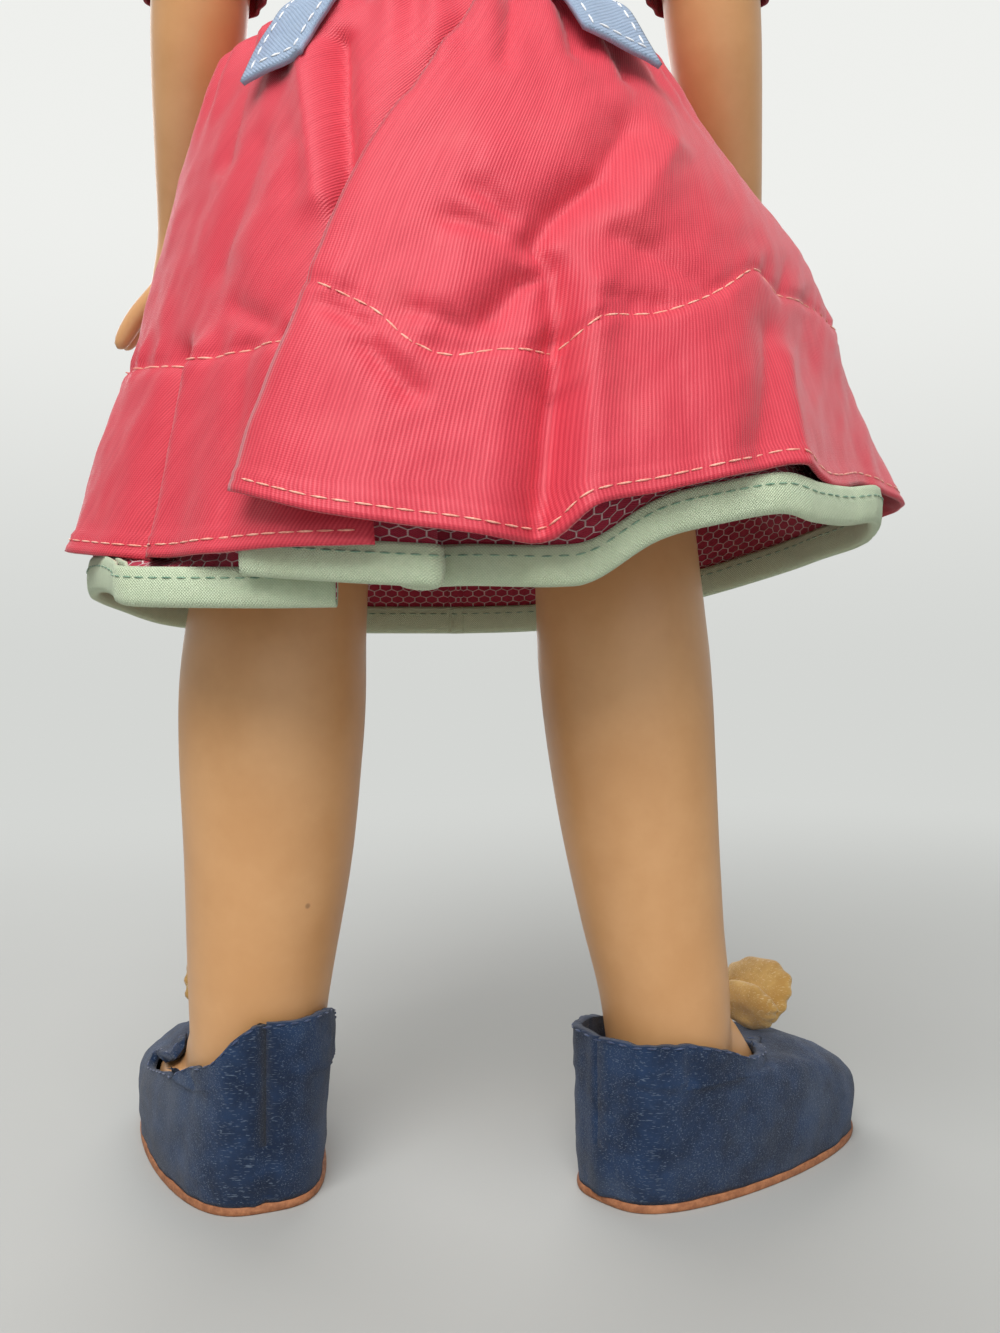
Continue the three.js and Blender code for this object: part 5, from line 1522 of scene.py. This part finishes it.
def head_at(u, v):
    z = mix(250.2, CROWN_Z, v)
    a = u * math.tau
    radius = head_radius(a, z)
    x, y = radius * math.cos(a), radius * math.sin(a)
    if y < 0 and z > 270:
        aside, nose, mouth = abs(x), z - NOSE_Z, z - MOUTH_Z
        y -= 3.6 * bump(x, 2.7) * bump(nose, 3.2) + 1.2 * bump(x, 2.2) * bump(nose - 6, 6)
        y -= 0.9 * bump(aside - 2.2, 1.3) * bump(nose + 0.6, 1.6)
        y -= 1.5 * bump(x, 4.6) * bump(mouth - 1.2, 1.2) * (1 - 0.3 * bump(x, 0.9))
        y -= 1.8 * bump(x, 3.6) * bump(mouth + 1.7, 1.5)
        y += 0.8 * bump(x, 4.8) * bump(mouth, 0.5)
        y += 0.5 * bump(x, 1.2) * bump(mouth - 4.4, 1.8)
        y -= 1.6 * bump(x, 6) * bump(z - CHIN_Z - 6, 4.5)
        y -= 1.4 * bump(aside - 15, 7) * bump(nose + 2, 7)
        y += 1.2 * bump(aside - EYE_X, 6.5) * bump(z - EYE_Z, 5)
        y -= 0.7 * bump(aside - EYE_X, 7.5) * bump(z - EYE_Z - 8, 3)
    return at(x, y, z)


def eye_window(sign):
    """Cutter of an almond opening that runs forward from the middle of an eye."""

    def place(u, v):
        a = u * math.tau
        x = 5.7 * math.cos(a)
        tall = 4.5 if math.sin(a) > 0 else 3.9
        z = tall * math.copysign(abs(math.sin(a)) ** 1.15, math.sin(a)) + 0.5 * sign * math.cos(a)
        return at(sign * EYE_X + x, mix(EYE_Y, EYE_Y - 24, v), EYE_Z + z)

    cutter = lay_grid("window", 48, 2, place, closed=True)
    close_ends(cutter)
    return cutter


def ear(sign):
    def place(u, v):
        a, b = u * math.tau, math.pi * v
        x, y, z = math.cos(a) * math.sin(b), math.sin(a) * math.sin(b), -math.cos(b)
        out = 31
        if x * sign > 0:
            hollow = 0.5 * bump(y + 0.1, 0.5) * bump(z, 0.5)
            out = 32 + 2.4 * abs(x) * (1 - hollow)
        return at(sign * out, 2 + 4.2 * y, EYE_Z - 5 + 6.2 * z)

    return lay_grid("ear", 32, 20, place, closed=True)


def doll_mm(tree, coords):
    """Millimetres of the doll's frame at each point of a piece."""
    inputs = {"Vector": coords["Object"], "Scale": (1 / MM, 1 / MM, 1 / MM),
              "Location": (-MIDDLE.x / MM, -MIDDLE.y / MM, 0.0)}
    return split(tree, node(tree, "Mapping", inputs).outputs[0])


def painted_face():
    """The skin with lips, cheeks and brows painted on it."""
    material, tree, shader, coords = finish_of(
        "painted_face", Coat_Weight=0.12, Coat_Roughness=0.3)
    tone = skin_tone(tree, shader, coords["Object"])
    x, y, z = doll_mm(tree, coords)
    aside = reckon(tree, "ABSOLUTE", x)
    front = between(tree, y, -24.0, -20.0, 1.0, 0.0)

    def spot(centre, level, half, tall, soft):
        dx = reckon(tree, "DIVIDE", less(tree, aside, centre), half)
        dz = reckon(tree, "DIVIDE", less(tree, z, level), tall)
        inside = between(tree, span(tree, dx, dz), 1.0 - soft, 1.0, 1.0, 0.0)
        return times(tree, inside, front)

    cheek = times(tree, spot(17.0, NOSE_Z - 4.0, 10.0, 9.0, 0.95), 0.5)
    tone = tint(tree, cheek, tone, (214, 96, 78))
    lips = greater_of(tree, spot(1.7, MOUTH_Z + 1.2, 3.2, 1.5, 0.25),
                      spot(0.0, MOUTH_Z - 1.4, 3.7, 1.7, 0.25))
    tone = tint(tree, times(tree, lips, 0.9), tone, (172, 38, 44))
    arch = less(tree, aside, 13.5)
    arch = times(tree, times(tree, arch, arch), 0.045)
    off = reckon(tree, "ABSOLUTE", less(tree, reckon(tree, "ADD", z, arch), EYE_Z + 10.6))
    along = reckon(tree, "ABSOLUTE", less(tree, aside, 13.2))
    brow = times(tree, between(tree, off, 0.25, 0.75, 1.0, 0.0),
                 between(tree, along, 6.0, 7.4, 1.0, 0.0))
    brow = times(tree, times(tree, brow, front), 0.75)
    colour(tree, shader, tint(tree, brow, tone, (92, 52, 30)))
    return material


def eye_finish():
    """White of the eye with a streaked blue iris and a dark pupil."""
    material, tree, shader, coords = finish_of(
        "sleeping_eye", Roughness=0.15, Coat_Weight=0.25, Coat_Roughness=0.04,
        Specular_IOR_Level=0.25)
    x, y, z = doll_mm(tree, coords)
    dx = less(tree, reckon(tree, "ABSOLUTE", x), EYE_X)
    dz = less(tree, z, EYE_Z)
    away = span(tree, dx, dz)
    around = times(tree, reckon(tree, "ARCTAN2", dz, dx), 9.0)
    streak = cloud(tree, node(tree, "CombineXYZ", {0: around, 1: away}).outputs[0], 1.0, 2.0)
    iris = tint(tree, streak, (38, 74, 118), (128, 172, 206))
    iris = tint(tree, between(tree, away, 2.7, 3.5), iris, (18, 34, 60))
    iris = tint(tree, between(tree, away, 1.45, 1.6, 1.0, 0.0), iris, (10, 10, 14))
    white = tint(tree, cloud(tree, coords["Object"], 300.0), (226, 226, 222), (240, 240, 237))
    front = between(tree, y, EYE_Y - 0.5, EYE_Y, 1.0, 0.0)
    seen = times(tree, between(tree, away, 3.45, 3.6, 1.0, 0.0), front)
    tone = tint(tree, seen, white, iris)
    lid = between(tree, dz, 4.4, 4.8)
    colour(tree, shader, tint(tree, lid, tone, (206, 154, 106)))
    return material


FINISH["face"] = painted_face()
FINISH["eye"] = eye_finish()
FINISH["lash"] = thread_finish("dark_lash", (26, 16, 10), (58, 38, 26))


def make_head():
    form = lay_grid("head_form", 176, 170, head_at, closed=True)
    close_ends(form)
    head = melt(join("head_moulding", [form, ear(1), ear(-1)]), 0.65, 4)
    for sign in SIDES.values():
        cut_with(head, eye_window(sign))
        cut_with(head, ball("socket", at(sign * EYE_X, EYE_Y, EYE_Z), EYE_BALL + 0.4))
    soften(head)
    fit(head, "face", "plastic", "head", "head_face", "head_back")


def make_eye(side):
    middle = Vector((SIDES[side] * EYE_X, EYE_Y, EYE_Z))
    eye = ball(f"{side}_eyeball", at(*middle), EYE_BALL, 64)
    soften(eye)
    fit(eye, "eye", "eye", "eyes", f"{side}_eye")
    places = []
    for i in range(26):
        turn = mix(-0.62, 0.62, i / 25)
        lift = math.radians(26 + 5 * math.cos(turn * 2))
        out = Vector((math.sin(turn) * math.cos(lift), -math.cos(turn) * math.cos(lift),
                      math.sin(lift)))
        way = (out + Vector((0.35 * math.sin(turn), 0, 0.35))).normalized()
        root = middle + out * 6.6
        places.append(frame_along(at(*(root + way * 0.9)), way, Vector((0, 0, 1))))
    lashes = scatter(f"{side}_lash_hairs", capsule("lash_model", 1.9, 0.22), places)
    fit(lashes, "lash", "lash", "eyes", f"{side}_lashes")


DOME_Z = 330  # above this height the hair lies over the top of the head
TOP_SHARE = 0.42  # of a lock
CAP_OUT = 1.1


def over_head(a, turn, out):
    """A point over the top of the head, turned away from its crown."""
    radius = (head_radius(a, DOME_Z) + out) * math.sin(turn)
    return round_at(radius, a, DOME_Z + (CROWN_Z - DOME_Z + out) * math.cos(turn))


def beside_head(a, z, out):
    return round_at(head_radius(a, z) + out, a, z)


def lock(name, degrees, end_z, lift, width, seed):
    """A flattened wavy lock that lies over the head and curls in at its end."""
    chance = random.Random(seed)
    sway, phase = chance.uniform(0.8, 1.5), chance.uniform(0, math.tau)
    drift = chance.uniform(-5, 5)

    def place(u, v):
        low = ease(v, 0.35, 1)
        middle = degrees + drift * v + 3.2 * sway * math.sin(v * 9 + phase) * low
        taper = math.sqrt(math.sin(math.pi * clamp(v * 0.94 + 0.03))) if v > 0.5 else 1
        b = u * math.tau
        a = math.radians(middle + width * taper * math.cos(b))
        curl = 1.2 * sway * math.sin(v * 11 + phase) * low - 1.8 * ease(v, 0.86, 1)
        out = lift + 1.5 * math.sin(b) * taper + curl * 0.6
        if v < TOP_SHARE:
            return over_head(a, math.pi / 2 * mix(0.06, 1, v / TOP_SHARE), out)
        return beside_head(a, mix(DOME_Z, end_z, (v - TOP_SHARE) / (1 - TOP_SHARE)), out)

    piece = lay_grid(name, 14, 40, place, (14, 70), closed=True)
    close_ends(piece)
    return piece


def cap_at(u, v):
    a = u * math.tau
    low = mix(326, 288, ease(math.sin(a), -0.75, -0.35))
    if v > 0.5:
        return over_head(a, math.pi / 2 * (1 - v) * 2, CAP_OUT)
    return beside_head(a, mix(low, DOME_Z, v * 2), CAP_OUT)


def make_hair():
    cap = lay_grid("wig_cap", 96, 48, cap_at, (200, 80), closed=True)
    thicken(cap, 0.8, 1.0)
    parts = [cap]
    chance = random.Random(7)
    for i in range(46):
        degrees = mix(-42, 222, i / 45) + chance.uniform(-2, 2)
        end_z, lift = 286.5 + chance.uniform(-1, 3), 2.3 + chance.uniform(0, 0.6)
        parts.append(lock(f"lock_{i}", degrees, end_z, lift, 5.2, i))
    for i in range(40):
        degrees = mix(-38, 218, i / 39) + chance.uniform(-3, 3)
        end_z, lift = 288 + chance.uniform(0, 12), 3.1 + chance.uniform(0, 0.5)
        parts.append(lock(f"top_lock_{i}", degrees, end_z, lift, 4.2, 100 + i))
    for i in range(17):
        end_z, lift = 323.5 + chance.uniform(-1.5, 2), 2.2 + chance.uniform(0, 0.6)
        parts.append(lock(f"fringe_{i}", mix(226, 314, i / 16), end_z, lift, 5, 200 + i))
    hair = join("wig_hair", parts)
    soften(hair)
    fit(hair, "hair", "hair", "head", "wig")


make_head()
for side in SIDES:
    make_eye(side)
make_hair()


# Torso and stringing


def hang_cord(cord, source):
    """Finishes an elastic that follows a limb from one point to another."""
    modify(cord, "SUBSURF", levels=2, render_levels=2)
    soften(cord)
    dress(cord, "elastic")
    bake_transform(cord)
    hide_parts(source)


def make_inside():
    torso = melt(copy_of("torso_moulding", "torso_front", "torso_back"), 1.0, 5, shell=True)
    fit(torso, "skin", "plastic", "torso", "torso_front", "torso_back")
    for side, sign in SIDES.items():
        leg_cord = copy_of(f"{side}_leg_elastic_cord", f"{side}_leg_elastic")
        hang_cord(leg_cord,
                  f"{side}_leg_elastic")
        arm_cord = copy_of(f"{side}_arm_elastic_cord", "arm_elastic")
        trim(arm_cord, at(0, 0, SHOULDER_Z), (-sign, 0, 0))
        close_ends(arm_cord)
        hang_cord(arm_cord,
                  "arm_elastic")
        for limb in ("leg", "arm"):
            dress(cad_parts[f"{side}_{limb}_hook"], "steel")
    for wire in ("neck_hook", "head_bar", "eye_rocker"):
        dress(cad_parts[wire], "steel")
    dress(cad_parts["eye_weight"], "lead")


make_inside()
